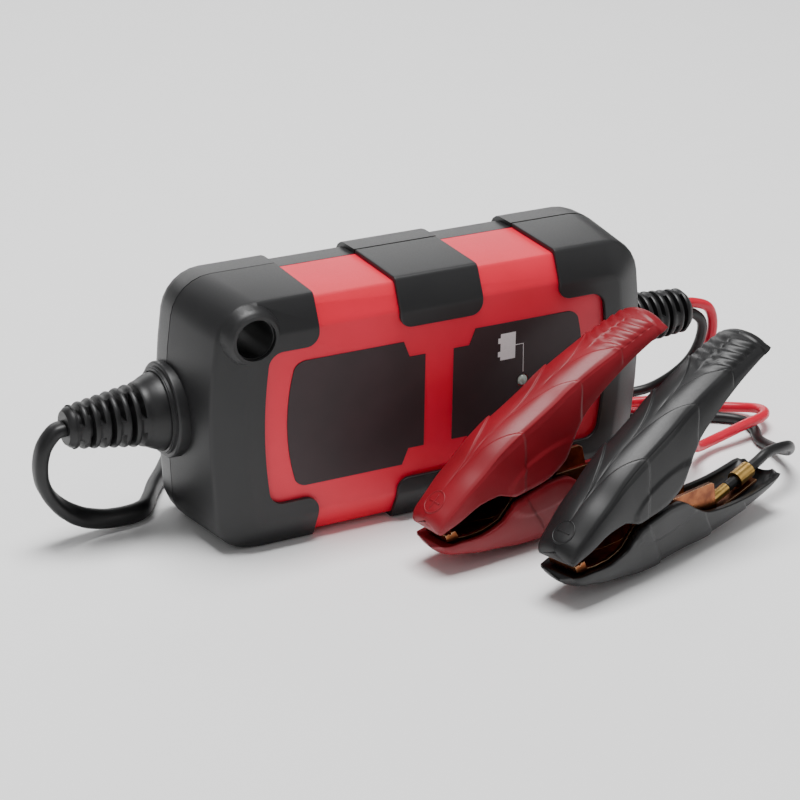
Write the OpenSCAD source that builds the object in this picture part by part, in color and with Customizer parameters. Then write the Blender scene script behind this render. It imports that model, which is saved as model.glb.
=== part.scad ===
// Compact car battery charger: moulded housing, mains cable with plug, and a
// pair of low-voltage leads that end in insulated crocodile clips.
// Millimetres. Z is up, the front face looks towards -Y, the origin is the
// middle of the housing's underside.

/* [Housing] */
// Length of the housing at the parting plane, at mid height
body_len = 126.5; // [116:0.5:140]
// Height of the housing
body_h = 65; // [58:0.5:74]
// Depth of the front shell, parting plane to front face
front_d = 25; // [22:0.5:30]
// Depth of the rear shell
rear_d = 10.5; // [9:0.5:14]
// Corner radius of the outline
corner_r = 10.75; // [8:0.25:13]
// Radius of the gently rounded ends
end_r = 160; // [120:5:300]
// Draft of the ends over the front shell
end_draft = 2.9; // [1:0.1:4]
// Draft of the top and the underside over the front shell
top_draft = 0.35; // [0.1:0.05:1]
// Width of the chamfer round the front
cham_w = 7.7; // [5:0.1:9]
// Depth of the chamfer round the front
cham_d = 3.6; // [2:0.1:5]
// Radius of the rear edge
rear_r = 4.8; // [3:0.1:6]
// Open joint between the front and the rear shell
seam = 0.25; // [0.1:0.05:0.4]
// Wall of the two shells
wall = 2.0; // [1.6:0.1:2.6]
// Height that the bumpers and bands stand above the shell
bumper_t = 1.2; // [0.8:0.1:1.6]
// Reach of a bumper's arms from the end of the housing
arm_w = 29.6; // [24:0.2:32]
// Half width of the middle band
band_x = 11.6; // [8:0.2:16]
// Width of a bumper beside the window
cap_w = 15.05; // [12:0.25:18]
// Height of the lower arms, below the window
arm_low = 12.25; // [10:0.25:15]
// Height of the upper arms, above the window
arm_high = 12.75; // [10:0.25:15]
// Corner radius of the window
win_r = 4; // [2:0.5:8]
// Radius of the free corners of arms and bands
arm_r = 3.4; // [1:0.2:4]

/* [Hanging eye] */
// Bore of the hanging eye
eye_d = 9.7; // [6:0.1:11]
// Wall of the sleeve round the hanging eye
eye_wall = 1.6; // [1.2:0.1:2]
// Distance of the eye from the end of the housing
eye_in = 13; // [12:0.25:14]
// Distance of the eye below the top of the housing
eye_drop = 8.7; // [8.2:0.1:11]

// Reach of the raised rim round the eye, over its radius
eye_rim = 3.1; // [2.4:0.1:3.4]

/* [Printed panels] */
// Thickness of the printed panels
panel_t = 0.25; // [0.15:0.05:0.4]
// Distance of the panels' outer edges from the end of the housing
panel_out = 21.45; // [19:0.25:24]
// Radius of the panels' outer corners
panel_r = 3.6; // [1:0.2:5]
// Clear red border between a panel and the arms above and below it
panel_gap = 3.5; // [2.5:0.25:6]
// Inner edge of the panels from the middle
panel_in = 4; // [3:0.2:6]

/* [Boots] */
// Height of both cable axes above the underside
boot_z = 31.6; // [28:0.2:36]
// Length of the mains boot
mboot_len = 26.6; // [22:0.2:30]
// Radius of the mains boot at its foot
mboot_r0 = 9.8; // [9.4:0.1:11]
// Radius of the mains boot at its tail
mboot_r1 = 5.3; // [4.6:0.1:6]
// Outer radius of the collar
collar_r = 12.1; // [11.6:0.1:13.4]
// Length of the lead boot
lboot_len = 26; // [22:0.2:30]
// Radius of the lead boot at its foot
lboot_r0 = 7.3; // [6.6:0.1:8]
// Radius of the lead boot at its tail
lboot_r1 = 5.9; // [5:0.1:6.4]
// Width of a slot in a boot
slot_w = 1.3; // [0.8:0.1:1.6]
// Pitch of the slots in a boot
slot_p = 2.5; // [2.3:0.1:3]
// Radius of the core left under the slots
slot_core = 3.6; // [3:0.1:4.2]

/* [Cords] */
// Width of the flat mains cable
mains_w = 5.2; // [4.4:0.1:5.8]
// Thickness of the flat mains cable
mains_t = 3.4; // [2.6:0.1:3.8]
// Outer diameter of one lead
lead_d = 2.8; // [2.2:0.1:3.2]
// Radius of the put-away coil at the middle of its turns
coil_r = 29; // [26:0.5:33]
// Loops in one layer of the coil
coil_loops = 3; // [2:1:4]
// Clear gap between loops of the coil
coil_gap = 0.5; // [0.45:0.05:1]

/* [Clips] */
// Length of a clip cover
clip_len = 77.5; // [77.5:0.5:78]
// Wall of a clip cover
clip_wall = 1.4; // [1.1:0.1:1.6]
// Height of a petal's edge over the next one
petal_t = 0.9; // [0.5:0.1:1.2]
// Height of the grip ribs
rib_t = 0.5; // [0.3:0.1:0.8]
// Distance of the pivot from the nose
pivot_x = 33; // [32:0.5:34]
// Diameter of the pivot pin
pin_d = 3.2; // [2.6:0.1:3.6]
// Radial running clearance of the pin
pin_gap = 0.05; // [0.02:0.01:0.08]
// Sheet thickness of the jaws
jaw_t = 0.9; // [0.7:0.1:1]
// Outer width of the lower jaw
jaw_w = 10.8; // [10:0.1:11]
// Wire of the torsion spring
wire_d = 1.1; // [0.8:0.1:1.2]
// Full turns of the torsion spring, besides the part turn between its legs
turns = 2; // [1:1:2]

/* [Hidden] */
$fn = 48;
zc = body_h / 2;
y_front = -17.75;
y_part = y_front + front_d;
y_rear = y_part + rear_d;
hx = body_len / 2;
arm_x = hx - arm_w;
win_x = hx - cap_w;
win_z0 = arm_low;
win_z1 = body_h - arm_high;
eye_x = hx - eye_in;
panel_x = hx - panel_out;
seat = 0.3;
boot_y = y_part;
fit = 0.15;

// ---------- general helpers ----------

function unit(v) = v / norm(v);

// Closed skin through rings of points; flat ends
module skin(rings) {
  n = len(rings[0]);
  m = len(rings);
  polyhedron(
    points = [for (r = rings) each r],
    faces = concat(
      [[for (i = [n - 1:-1:0]) i]],
      [for (k = [0:m - 2], i = [0:n - 1])
        [k * n + i, k * n + (i + 1) % n, (k + 1) * n + (i + 1) % n]],
      [for (k = [0:m - 2], i = [0:n - 1])
        [k * n + i, (k + 1) * n + (i + 1) % n, (k + 1) * n + i]],
      [[for (i = [0:n - 1]) (m - 1) * n + i]]),
    convexity = 8);
}

// Rounded rectangle in the plane
module rr(x0, z0, x1, z1, r) {
  translate([x0 + r, z0]) square([x1 - x0 - 2 * r, z1 - z0]);
  translate([x0, z0 + r]) square([x1 - x0, z1 - z0 - 2 * r]);
  for (x = [x0 + r, x1 - r], z = [z0 + r, z1 - r])
    translate([x, z]) circle(r, $fn = 32);
}

// Stands a flat outline up in XZ and runs it from y0 to y1
module wallwise(y0, y1) {
  translate([0, y1, 0]) rotate([90, 0, 0]) linear_extrude(y1 - y0) children();
}

// ---------- housing outline ----------

// One ring of the housing: half length a, half height h, corner radius r, centred at height c
function outline(a, h, r, y, c) =
  let (
    ce = a - end_r,
    cx = ce + sqrt(pow(end_r - r, 2) - pow(h - r, 2)),
    a0 = atan2(h - r, cx - ce),
    quarter = concat(
      [for (k = [0:2]) [ce + end_r * cos(a0 * k / 3), end_r * sin(a0 * k / 3)]],
      [for (k = [0:6]) let (t = a0 + (90 - a0) * k / 6)
        [cx + r * cos(t), h - r + r * sin(t)]]),
    nq = len(quarter))
  concat(
    [for (q = quarter) [q[0], y, c + q[1]]],
    [for (k = [nq - 1:-1:0]) [-quarter[k][0], y, c + quarter[k][1]]],
    [for (k = [1:nq - 1]) [-quarter[k][0], y, c - quarter[k][1]]],
    [for (k = [nq - 1:-1:1]) [quarter[k][0], y, c - quarter[k][1]]]);

// Front shell, inset by t from the outermost skin, running back to y1
cham_a = atan2(cham_d, cham_w);
side_shift = cos(cham_a) / (1 + sin(cham_a));
face_shift = sin(cham_a) / (1 + cos(cham_a));
edge_r = 1.2;
module front_env(t, y1) {
  ys = y_front + cham_d + t * side_shift;
  yf = y_front + t;
  dr = (y_part - ys) / front_d;
  as = hx - t - end_draft * dr;
  // The underside is flat, so the whole draft of the height is on the top
  hs = zc - t - top_draft * dr / 2;
  cs = t + hs;
  rs = corner_r - t;
  cw = cham_w - t * (1 - face_shift);
  function at(s) = outline(as - cw * s, hs - cw * s, rs * (1 - 0.62 * s), ys + (yf - ys) * s, cs);
  dy = (y1 - y_part) / front_d;
  he = zc - t + top_draft * dy / 2;
  skin([
    outline(as - cw * 1.07, hs - cw * 1.07, rs * 0.34, yf, cs),
    outline(as - cw, hs - cw, rs * 0.37, yf + 0.1, cs),
    at(0.9),
    at(0.1),
    outline(as - 0.14 * edge_r, hs - 0.12 * edge_r, rs - 0.1, ys + 0.26 * edge_r, cs),
    outline(as + 0.13 * edge_r, hs, rs, ys + edge_r, cs),
    outline(hx - t + end_draft * dy, he, rs, y1, t + he)
  ]);
}

// Rear shell, inset by t, from y0 back to the rear face
module rear_env(t, y0) {
  r = rear_r - t;
  yr = y_rear - t;
  function back(q) = outline(
    hx - t - 0.3 - r * (1 - cos(q)), zc - t - 0.075 - r * (1 - cos(q)),
    max(corner_r - t - r * 0.8 * (1 - cos(q)), 1), yr - r + r * sin(q), zc - 0.075);
  skin(concat(
    [outline(hx - t, zc - t, corner_r - t, y0, zc)],
    [for (k = [0:4]) back(90 * k / 4)]));
}

// ---------- regions of the raised bumpers ----------

// What rounding takes off a corner at (x, z) that points to (sx, sz)
module corner_off2d(x, z, r, sx, sz) {
  difference() {
    translate([x + (sx > 0 ? -r : -1), z + (sz > 0 ? -r : -1)]) square(r + 1);
    translate([x - sx * r, z - sz * r]) circle(r, $fn = 32);
  }
}
// Reach of a bowed end of radius R, at height z
function bowed(x, R, z) = x - R + sqrt(R * R - pow(z - zc, 2));
win_bow = 120;
module window_cut2d() {
  difference() {
    intersection() {
      translate([-win_x, win_z0]) square([2 * win_x, win_z1 - win_z0]);
      translate([win_x - win_bow, zc]) circle(win_bow, $fn = 180);
      translate([win_bow - win_x, zc]) circle(win_bow, $fn = 180);
    }
    for (sx = [-1, 1], e = [[win_z0, -1], [win_z1, 1]])
      corner_off2d(sx * bowed(win_x, win_bow, e[0] - e[1] * win_r), e[0], win_r, sx, e[1]);
  }
}
module end_region2d(s) {
  mirror([s > 0 ? 0 : 1, 0]) difference() {
    union() {
      rr(arm_x, win_z1, hx + 20, body_h + 20, arm_r);
      rr(arm_x, -20, hx + 20, win_z0, arm_r);
      translate([win_x - 6, -20]) square([30, body_h + 40]);
    }
    window_cut2d();
  }
}

module raised(t_in, t_out) {
  difference() {
    intersection() {
      front_env(t_out, y_part - seam);
      children();
    }
    front_env(t_in, y_part + 2);
  }
}

module eye_at() {
  translate([-eye_x, 0, body_h - eye_drop]) rotate([90, 0, 0]) children();
}
eye_R = eye_d / 2 + eye_wall;

module eye_clear() {
  eye_at() cylinder(r = eye_R + fit, h = 80, center = true);
}
// Raised rim that carries the eye out to the face, over the sloped edge
module eye_boss() {
  eye_at() translate([0, 0, -y_front - 3.6]) {
    cylinder(r1 = eye_d / 2 + eye_rim, r2 = eye_d / 2 + eye_rim - 1, h = 2.7);
    translate([0, 0, 2.7])
      cylinder(r1 = eye_d / 2 + eye_rim - 1, r2 = eye_d / 2 + eye_rim - 1.9, h = 0.9);
  }
}

// Clearance for the necks of both boots
neck_r = 5.6;
module neck_clear() {
  translate([0, boot_y, boot_z]) rotate([0, 90, 0])
    cylinder(r = neck_r + fit, h = body_len + 40, center = true);
}

// ---------- fixings ----------

screw_x = hx - 22.25;
screw_z = [12, body_h - 12];
boss_r = 3.4;
pilot_r = 1.3;
head_r = 2.8;
module at_screws() {
  for (x = [-screw_x, screw_x], z = screw_z)
    translate([x, 0, z]) rotate([-90, 0, 0]) children();
}

// Board and inner parts hang on these
board_y = -6;
board_t = 1.6;
lip_h = 1.6;
lip_t = 0.9;

module front_case() color("#d23047") {
  difference() {
    union() {
      difference() {
        front_env(bumper_t, y_part - seam);
        front_env(bumper_t + wall, y_part + 2);
      }
      // Screw posts, from the front wall back to the parting plane
      at_screws() translate([0, 0, y_front + bumper_t + wall - 0.3])
        cylinder(r = boss_r, h = front_d - bumper_t - wall - 0.3);
      // Posts that carry the circuit board
      at_board_holes() translate([0, 0, y_front + bumper_t + wall - 0.3])
        cylinder(r = 3, h = board_y - y_front - bumper_t - wall + 0.3);
    }
    at_screws() translate([0, 0, y_part - 9]) cylinder(r = pilot_r, h = 20);
    eye_clear();
    neck_clear();
    // Seat of the indicator
    translate([lamp_x, y_front - 1, lamp_z]) rotate([-90, 0, 0])
      cylinder(r = lamp_r + fit, h = 12);
  }
}

module rear_case() color("#3a3a3c") {
  difference() {
    union() {
      difference() {
        rear_env(bumper_t, y_part);
        rear_env(bumper_t + wall, y_part - 2);
      }
      // Raised ends and middle, as wide as the bumpers in front
      difference() {
        intersection() {
          rear_env(0, y_part);
          wallwise(y_part - 1, y_rear + 1) union() {
            translate([arm_x, -20]) square([hx, body_h + 40]);
            translate([-arm_x - hx, -20]) square([hx, body_h + 40]);
            translate([-band_x, -20]) square([2 * band_x, body_h + 40]);
          }
        }
        rear_env(bumper_t + wall / 2, y_part - 2);
      }
      // Locating lip inside the front shell
      for (s = [0, 1]) translate([0, 0, zc]) mirror([0, 0, s]) {
        translate([-body_len * 0.3, y_part - lip_h, zc - bumper_t - wall - fit - lip_t])
          cube([body_len * 0.6, lip_h + 4, lip_t]);
        translate([-body_len * 0.3, y_part, zc - bumper_t - wall - fit - lip_t])
          cube([body_len * 0.6, 4, lip_t + 1]);
      }
      at_screws() translate([0, 0, y_part]) cylinder(r = boss_r, h = rear_d - 1);
    }
    at_screws() {
      cylinder(r = pilot_r + 0.4, h = 40);
      translate([0, 0, y_rear - 5]) cylinder(r = head_r + 0.3, h = 10);
    }
    eye_clear();
    neck_clear();
  }
}

module left_bumper() color("#3c3c3e") {
  difference() {
    union() {
      raised(bumper_t, 0) wallwise(y_front - 5, y_part) end_region2d(-1);
      difference() {
        eye_boss();
        front_env(bumper_t, y_part);
      }
    }
    eye_at() cylinder(r = eye_d / 2 + 0.3, h = 80, center = true);
    // Wider behind the face, for the sleeve
    eye_at() translate([0, 0, -y_front - bumper_t - 20]) cylinder(r = eye_R + fit, h = 20 + fit);
    neck_clear();
  }
}

module right_bumper() color("#3c3c3e") {
  difference() {
    raised(bumper_t, 0) wallwise(y_front - 5, y_part) end_region2d(1);
    neck_clear();
  }
}

module upper_band() color("#3c3c3e") {
  raised(bumper_t, 0) wallwise(y_front - 5, y_part)
    rr(-band_x, win_z1 + 0.2, band_x, body_h + 10, arm_r);
}

module lower_band() color("#3c3c3e") {
  raised(bumper_t, 0) wallwise(y_front - 5, y_part)
    rr(-band_x, -10, band_x, win_z0 - 0.2, arm_r);
}

// Through sleeve of the hanging eye, from the back of the bumper's face to the rear
module hanging_sleeve() color("#363638") {
  eye_at() rotate([180, 0, 0]) rotate_extrude()
    translate([eye_d / 2, y_front + bumper_t])
      square([eye_wall, front_d + rear_d - bumper_t - 0.4]);
}

// ---------- printed panels and indicator ----------

y_face = y_front + bumper_t;
lamp_x = 24.2;
lamp_z = 32.1;
lamp_r = 1.5;

module panel2d() {
  z0 = win_z0 + panel_gap - 0.25;
  z1 = win_z1 - panel_gap - 0.25;
  step_x = panel_in + 6.1;
  step_z = 4.2;
  bow = 55;
  difference() {
    intersection() {
      polygon([
        [panel_in, z0 + step_z], [panel_in + 4.4, z0 + step_z], [step_x, z0],
        [panel_x + 1, z0], [panel_x + 1, z1], [step_x, z1],
        [panel_in + 4.4, z1 - step_z], [panel_in, z1 - step_z]
      ]);
      translate([panel_x - bow, zc]) circle(bow, $fn = 180);
    }
    for (e = [[z0, -1], [z1, 1]])
      corner_off2d(bowed(panel_x, bow, e[0] - e[1] * panel_r), e[0], panel_r, 1, e[1]);
  }
}

module left_label_panel() color("#3f3031") {
  wallwise(y_face - panel_t, y_face) mirror([1, 0]) panel2d();
}

module right_label_panel() color("#3f3031") {
  wallwise(y_face - panel_t, y_face) difference() {
    panel2d();
    translate([lamp_x, lamp_z]) circle(lamp_r + fit);
  }
}

module indicator_lens() color("#d9efe0") {
  translate([lamp_x, y_face - panel_t - 0.9, lamp_z]) rotate([-90, 0, 0]) rotate_extrude()
    union() {
      intersection() {
        translate([0, lamp_r]) circle(lamp_r);
        square([lamp_r, lamp_r]);
      }
      translate([0, lamp_r]) square([lamp_r, 4.6 - lamp_r]);
      translate([0, 4.6]) square([lamp_r + 0.6, 0.9]);
    }
}

// ---------- collar and boots ----------

module mains_collar() color("#38383a") {
  difference() {
    translate([-hx + 4, boot_y, boot_z]) rotate([0, -90, 0]) rotate_extrude()
      difference() {
        union() {
          square([collar_r, 4.9]);
          translate([0, 4.9]) square([collar_r - 0.7, 0.7]);
          translate([collar_r - 0.7, 4.9]) circle(0.7, $fn = 24);
          translate([0, 5]) square([collar_r - 1.2, 1.3]);
          translate([0, 5]) square([collar_r - 1.5, 1.6]);
        }
        translate([-1, -1]) square([mboot_r0 + 0.15 + 1, 12]);
      }
    front_env(0, y_part);
    rear_env(0, y_part);
  }
}

// A boot drawn along +Z from the housing's end (z = 0): foot profile, slotted
// and ribbed part, rounded tail. Slots leave webs that turn 90 degrees in turn.
module boot(foot, z_rib, r_rib, len, r1, slots, first) {
  slope = (r1 - r_rib) / (len - 2 - z_rib);
  function rad(z) = r_rib + slope * (z - z_rib);
  difference() {
    union() {
      rotate_extrude() polygon(concat(
        [[0, -6.4], [6.9, -6.4], [6.9, -4.6], [neck_r, -4.6], [neck_r, 0.2]],
        foot,
        [for (k = [0:8 * slots]) let (z = z_rib + slot_p * k / 8)
          [rad(z) + 0.22 * cos(45 * k), z]],
        [[rad(len - 2), len - 2], [rad(len - 2) - 0.35, len - 0.9],
         [rad(len - 2) - 1.1, len], [0, len]]));
    }
    for (k = [0:slots - 1])
      translate([0, 0, z_rib + slot_p * (k + 0.5)]) difference() {
        cylinder(r = 12, h = slot_w, center = true);
        cylinder(r = slot_core, h = slot_w + 1, center = true);
        rotate([0, 0, (k + first) % 2 == 0 ? 0 : 90])
          cube([3.6, 30, slot_w + 1], center = true);
      }
  }
}

module mains_boot() color("#39393b") {
  translate([-hx, boot_y, boot_z]) rotate([0, -90, 0])
    boot([[mboot_r0 - 0.3, 1.0], [mboot_r0, 1.4], [mboot_r0, 2.6], [mboot_r0 - 0.25, 3.8],
      [mboot_r0 - 0.8, 5.2], [mboot_r0 - 1.5, 6.6]],
      7.4, mboot_r0 - 1.9, mboot_len, mboot_r1, 7, 0);
}

module lead_boot() color("#333335") {
  translate([hx, boot_y, boot_z]) rotate([0, 90, 0])
    boot([[lboot_r0, 0.5], [lboot_r0, 3.6]], 4.4, lboot_r0, lboot_len, lboot_r1, 8, 0);
}

module case_screws() color("silver") {
  at_screws() {
    translate([0, 0, y_part - 8]) cylinder(r = pilot_r - 0.1, h = rear_d + 8 - 5);
    translate([0, 0, y_rear - 5]) difference() {
      cylinder(r = head_r, h = 1.8);
      translate([0, 0, 1]) cube([0.9, 3.4, 2], center = true);
      translate([0, 0, 1]) cube([3.4, 0.9, 2], center = true);
    }
  }
}

// ---------- inside ----------

board_l = hx - 9.25;
module at_board_holes() {
  for (x = [4, board_l - 4], z = [22, body_h - 22])
    translate([x, 0, z]) rotate([-90, 0, 0]) children();
}
module circuit_board() color("#2f6b3c") {
  difference() {
    translate([0, board_y, 18]) cube([board_l, board_t, body_h - 36]);
    at_board_holes() translate([0, 0, board_y - 1]) cylinder(r = 1.6, h = 4);
  }
}

// The core fills the left half, clear of the screw posts above and below it
core_l = hx - 21.25;
core_h = screw_z[1] - screw_z[0] - 2 * boss_r - 1.2;
core_c = [-5 - core_l / 2, 2, zc];
module transformer_core() color("#77797c") {
  translate(core_c) difference() {
    cube([core_l, 15, core_h], center = true);
    for (s = [-1, 1]) translate([s * 11.5, 0, 0]) cube([9, 20, core_h - 13], center = true);
  }
}

module transformer_winding() color("#c9a227") {
  translate(core_c) difference() {
    cube([31.4, 24, core_h - 13.6], center = true);
    cube([14.6, 15.6, 30], center = true);
  }
}

module capacitors() color("#23262b") {
  for (c = [[14, zc - 8.5], [14, zc + 5.5]])
    translate([c[0], board_y + board_t, c[1]]) rotate([-90, 0, 0]) {
      cylinder(r = 5, h = 14);
      translate([0, 0, 14]) cylinder(r = 4.4, h = 0.5);
    }
}

module heat_sink() color("#9fa3a6") {
  translate([board_l - 24, board_y + board_t, zc - 10.5]) {
    cube([18, 2, 22]);
    for (k = [0:4]) translate([k * 4, 2, 0]) cube([1.6, 10, 22]);
  }
}

// ---------- cords ----------

// Point on a smooth curve through the points p, segment k, fraction t
function cr(p, k, t) =
  let (
    n = len(p),
    a = p[max(k - 1, 0)],
    b = p[k],
    c = p[min(k + 1, n - 1)],
    d = p[min(k + 2, n - 1)])
  0.5 * (2 * b + (c - a) * t + (2 * a - 5 * b + 4 * c - d) * t * t
    + (3 * b - a - 3 * c + d) * t * t * t);
function curve(p, n) = concat(
  [for (k = [0:len(p) - 2], j = [0:n - 1]) cr(p, k, j / n)], [p[len(p) - 1]]);

// Ring k of an oval tube; q is the path, u the direction of the wide axis
function tube_ring(q, k, w, t, u, sides) =
  let (
    m = len(q),
    d = unit(q[min(k + 1, m - 1)] - q[max(k - 1, 0)]),
    b = unit(u - (u * d) * d),
    c = cross(b, d))
  [for (i = [0:sides - 1]) let (f = 360 * (i + 0.5) / sides)
    q[k] + b * (w / 2 * cos(f)) + c * (t / 2 * sin(f))];
module tube(q, w, t, us, sides) {
  skin([for (k = [0:len(q) - 1])
    tube_ring(q, k, w, t, us[min(k, len(us) - 1)], sides)]);
}

// Put-away coil of the mains cable, lying behind the housing. Its layers
// spiral in and out again; the climb is in the half turn that reverses.
coil_c = [8, 98];
coil_steps = 24;
coil_pr = mains_t + coil_gap;
coil_pz = mains_w + coil_gap;
coil_out = coil_r + coil_pr * coil_loops / 2;
coil_n = 2 * coil_loops;
coil_z0 = mains_w / 2;
// Radius and height after f loops
function coil_rad(f) = coil_out - coil_pr * min(f, coil_n - f);
function coil_h(f) = coil_z0 + coil_pz
  * max(0, min(1, (f - coil_loops + 0.25) / 0.5));
function coil_pt(f) = [
  coil_c[0] - coil_rad(f) * cos(360 * f),
  coil_c[1] + coil_rad(f) * sin(360 * f),
  coil_h(f)];
// Half of the last loop is left out, so the tail leaves towards the housing
coil_end = coil_n - 0.5;
coil_rings = [for (k = [0:coil_end * coil_steps]) coil_pt(k / coil_steps)];
coil_first = concat([coil_rings[0] - [0, mains_t, 0]], coil_rings,
  [coil_rings[len(coil_rings) - 1] - [0, mains_t, 0]]);
// Gap between two rings along the line through their centres
function ring_gap(d) = let (s = norm([d[0] / mains_t, d[1] / mains_t, d[2] / mains_w]))
  norm(d) * (1 - 1 / s);
coil_last = len(coil_rings) - 1;
coil_least = min([for (i = [0:coil_last - 12], j = [i + 12:coil_last])
  ring_gap(coil_rings[j] - coil_rings[i])]);
echo(str("least gap of the coil to itself: ", coil_least, " mm"));  // mains_coil

module mains_coil() color("#303032") {
  tube(coil_first, mains_w, mains_t, [[0, 0, 1]], 6);
}

// Mains cable, boot tail to coil. Fourth number: tilt of the wide side from
// lying across the loop (0) to standing on edge on the floor (90).
m_tail = [-hx - mboot_len, boot_y, boot_z];
m_in = coil_first[0];
mains_route = [
  [m_tail[0], m_tail[1], m_tail[2], 0],
  [m_tail[0] - 3.2, m_tail[1], m_tail[2] - 0.2, 0],
  [-96.2, 7.4, 28, 0],
  [-97.2, 7.7, 22.6, 3],
  [-96.2, 8.3, 16.6, 12],
  [-93, 9.2, 10.8, 30],
  [-87.6, 10.3, 6, 60],
  [-81, 11.2, 3.4, 82],
  [-74.5, 12, 2.7, 90],
  [-68, 14.2, 2.7, 90],
  [-62.5, 19, 2.7, 90],
  [-56.5, 27, 2.7, 90],
  [-48, 41, 2.7, 90],
  [-39.5, 58, 2.7, 90],
  [-31.2, 76, 2.7, 90],
  [m_in[0], m_in[1] - 3.6, m_in[2], 90],
  [m_in[0], m_in[1], m_in[2], 90]
];
module mains_cable() color("#2c2c2e") {
  q = concat([mains_route[0]], curve([for (k = [1:len(mains_route) - 2]) mains_route[k]], 2),
    [mains_route[len(mains_route) - 1]]);
  tube([for (p = q) [p[0], p[1], p[2]]], mains_w, mains_t,
    [for (p = q) [0, cos(p[3]), sin(p[3])]], 10);
}

// Plug with two round pins, between the coil and the housing; its cord comes
// down from the coil's upper layer
plug_w = 35;
plug_l = 32;
plug_h = 13.7;
plug_neck = 14;
p_out = coil_first[len(coil_first) - 1];
plug_x = p_out[0] + 12;
plug_y = p_out[1] - 19;
pin_len = 19;
pin_r = 2;
pin_pitch = 18;
module plug_at() {
  translate([plug_x, plug_y, plug_h / 2]) rotate([0, 0, -90]) children();
}
module plug_body() color("#2e2e30") {
  plug_at() difference() {
    intersection() {
      translate([0, 0, -plug_h / 2]) linear_extrude(plug_h) polygon([
        [0, -plug_neck / 2], [0, plug_neck / 2], [plug_l * 0.45, plug_w / 2 - 3],
        [plug_l - 3, plug_w / 2], [plug_l, plug_w / 2 - 3], [plug_l, -plug_w / 2 + 3],
        [plug_l - 3, -plug_w / 2], [plug_l * 0.45, -plug_w / 2 + 3]]);
      rotate([90, 0, 0]) linear_extrude(plug_w + 2, center = true) polygon([
        [0, -4.5], [6, -plug_h / 2], [plug_l, -plug_h / 2], [plug_l, plug_h / 2],
        [6, plug_h / 2], [0, 4.5]]);
    }
    for (s = [-1, 1]) translate([plug_l - 6, s * pin_pitch / 2, 0]) rotate([0, 90, 0])
      cylinder(r = pin_r, h = 10);
  }
}

// Short free stretch from the coil to the plug
module mains_tail() color("#2c2c2e") {
  // Both ends start straight, so that they meet the coil and the plug squarely
  tube(concat([p_out], curve([
    p_out - [0, 1.4, 0],
    p_out - [0, 3.6, 0],
    [(p_out[0] + plug_x) / 2, (p_out[1] + plug_y) / 2, (p_out[2] + plug_h / 2) / 2],
    [plug_x, plug_y + 3.6, plug_h / 2],
    [plug_x, plug_y + 1.4, plug_h / 2]], 2),
    [[plug_x, plug_y, plug_h / 2]]), mains_w, mains_t, [[0.001, 0, 1]], 10);
}

module plug_pins() color("silver") {
  plug_at() for (s = [-1, 1]) translate([plug_l - 6, s * pin_pitch / 2, 0]) rotate([0, 90, 0]) {
    cylinder(r = pin_r, h = 6 + pin_len - 1);
    translate([0, 0, 6 + pin_len - 1]) cylinder(r = pin_r - 0.6, h = 1);
  }
}

// ---------- clips ----------

// Place of a clip: nose position, turn about Z, rise of the nose-to-tail line
black_at = [[0.8, -72.95, 10.5], 18.2, 13.8];
red_at = [[-17.2, -43.35, 9.6], 9.5, 16];
module clip_at(c) {
  translate(c[0]) rotate([0, 0, c[1]]) rotate([0, -c[2], 0]) children();
}
function clip_pt(c, p) =
  let (
    x = p[0] * cos(c[2]) - p[2] * sin(c[2]),
    z = p[0] * sin(c[2]) + p[2] * cos(c[2]))
  c[0] + [x * cos(c[1]) - p[1] * sin(c[1]), x * sin(c[1]) + p[1] * cos(c[1]), z];

// Cover profiles along the clip: back, open rim, and the half widths
spine = [[0, 4.6], [1.5, 6.1], [4.5, 7.6], [10, 10.3], [15, 12.2], [21, 14.8], [27, 16.5],
  [33, 17.6], [40, 19.0], [44.6, 20.2], [54, 21.6], [61, 22.2], [68, 22.8], [73, 23],
  [76.3, 22.3], [77.5, 21.4]];
rim = [[0, 1.6], [1.5, 2.2], [5.8, 3.1], [8, 3.7], [12, 4.4], [17, 4.0], [20, 2.3],
  [22.5, 0.9], [31, 0.6], [34.5, 1.2], [37.8, 2.4], [41.8, 6.6], [47, 11.2],
  [53, 13.8], [59, 15.8], [66, 17.6], [75, 18.9], [77.5, 19.1]];
ridge_w = [[0, 4.2], [1.5, 5.3], [5, 5.9], [12, 6.3], [60, 6.3], [74, 5.9], [77.5, 5.3]];
rim_w = [[0, 5.2], [2, 6.3], [8, 6.9], [22, 7.6], [32, 8.4], [45, 8.2], [76, 7.3], [77.5, 6.8]];

// Stations: place, petal swell, rib swell, sweep of the edge towards the nose
stations_plain = [
  [0, 0, 0, 0], [0.8, 0, 0, 0], [2.2, 0, 0, 0], [5, 0, 0, 0.4], [9, 0.1, 0, 1],
  [14, 0.35, 0, 3], [20, 0.75, 0, 6.5], [26.6, 1, 0, 10], [27, 0, 0, 10], [33, 0.1, 0, 10.5],
  [39, 0.55, 0, 11.5], [44.6, 1, 0, 12], [45, 0.25, 0, 12], [50, 0.3, 0, 9], [56, 0.4, 0, 5],
  [60, 0.3, 0, 2.6]];
function rib_stations(on) = [for (k = [0:4], e = [[0, 0], [0.9, 1], [2, 1]])
  [61 + 3 * k + e[0], 0.3 - 0.05 * k, on * e[1], 2.4 - 0.5 * k]];
stations_end = [[76.4, 0, 0, 0], [clip_len, 0, 0, 0]];

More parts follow.
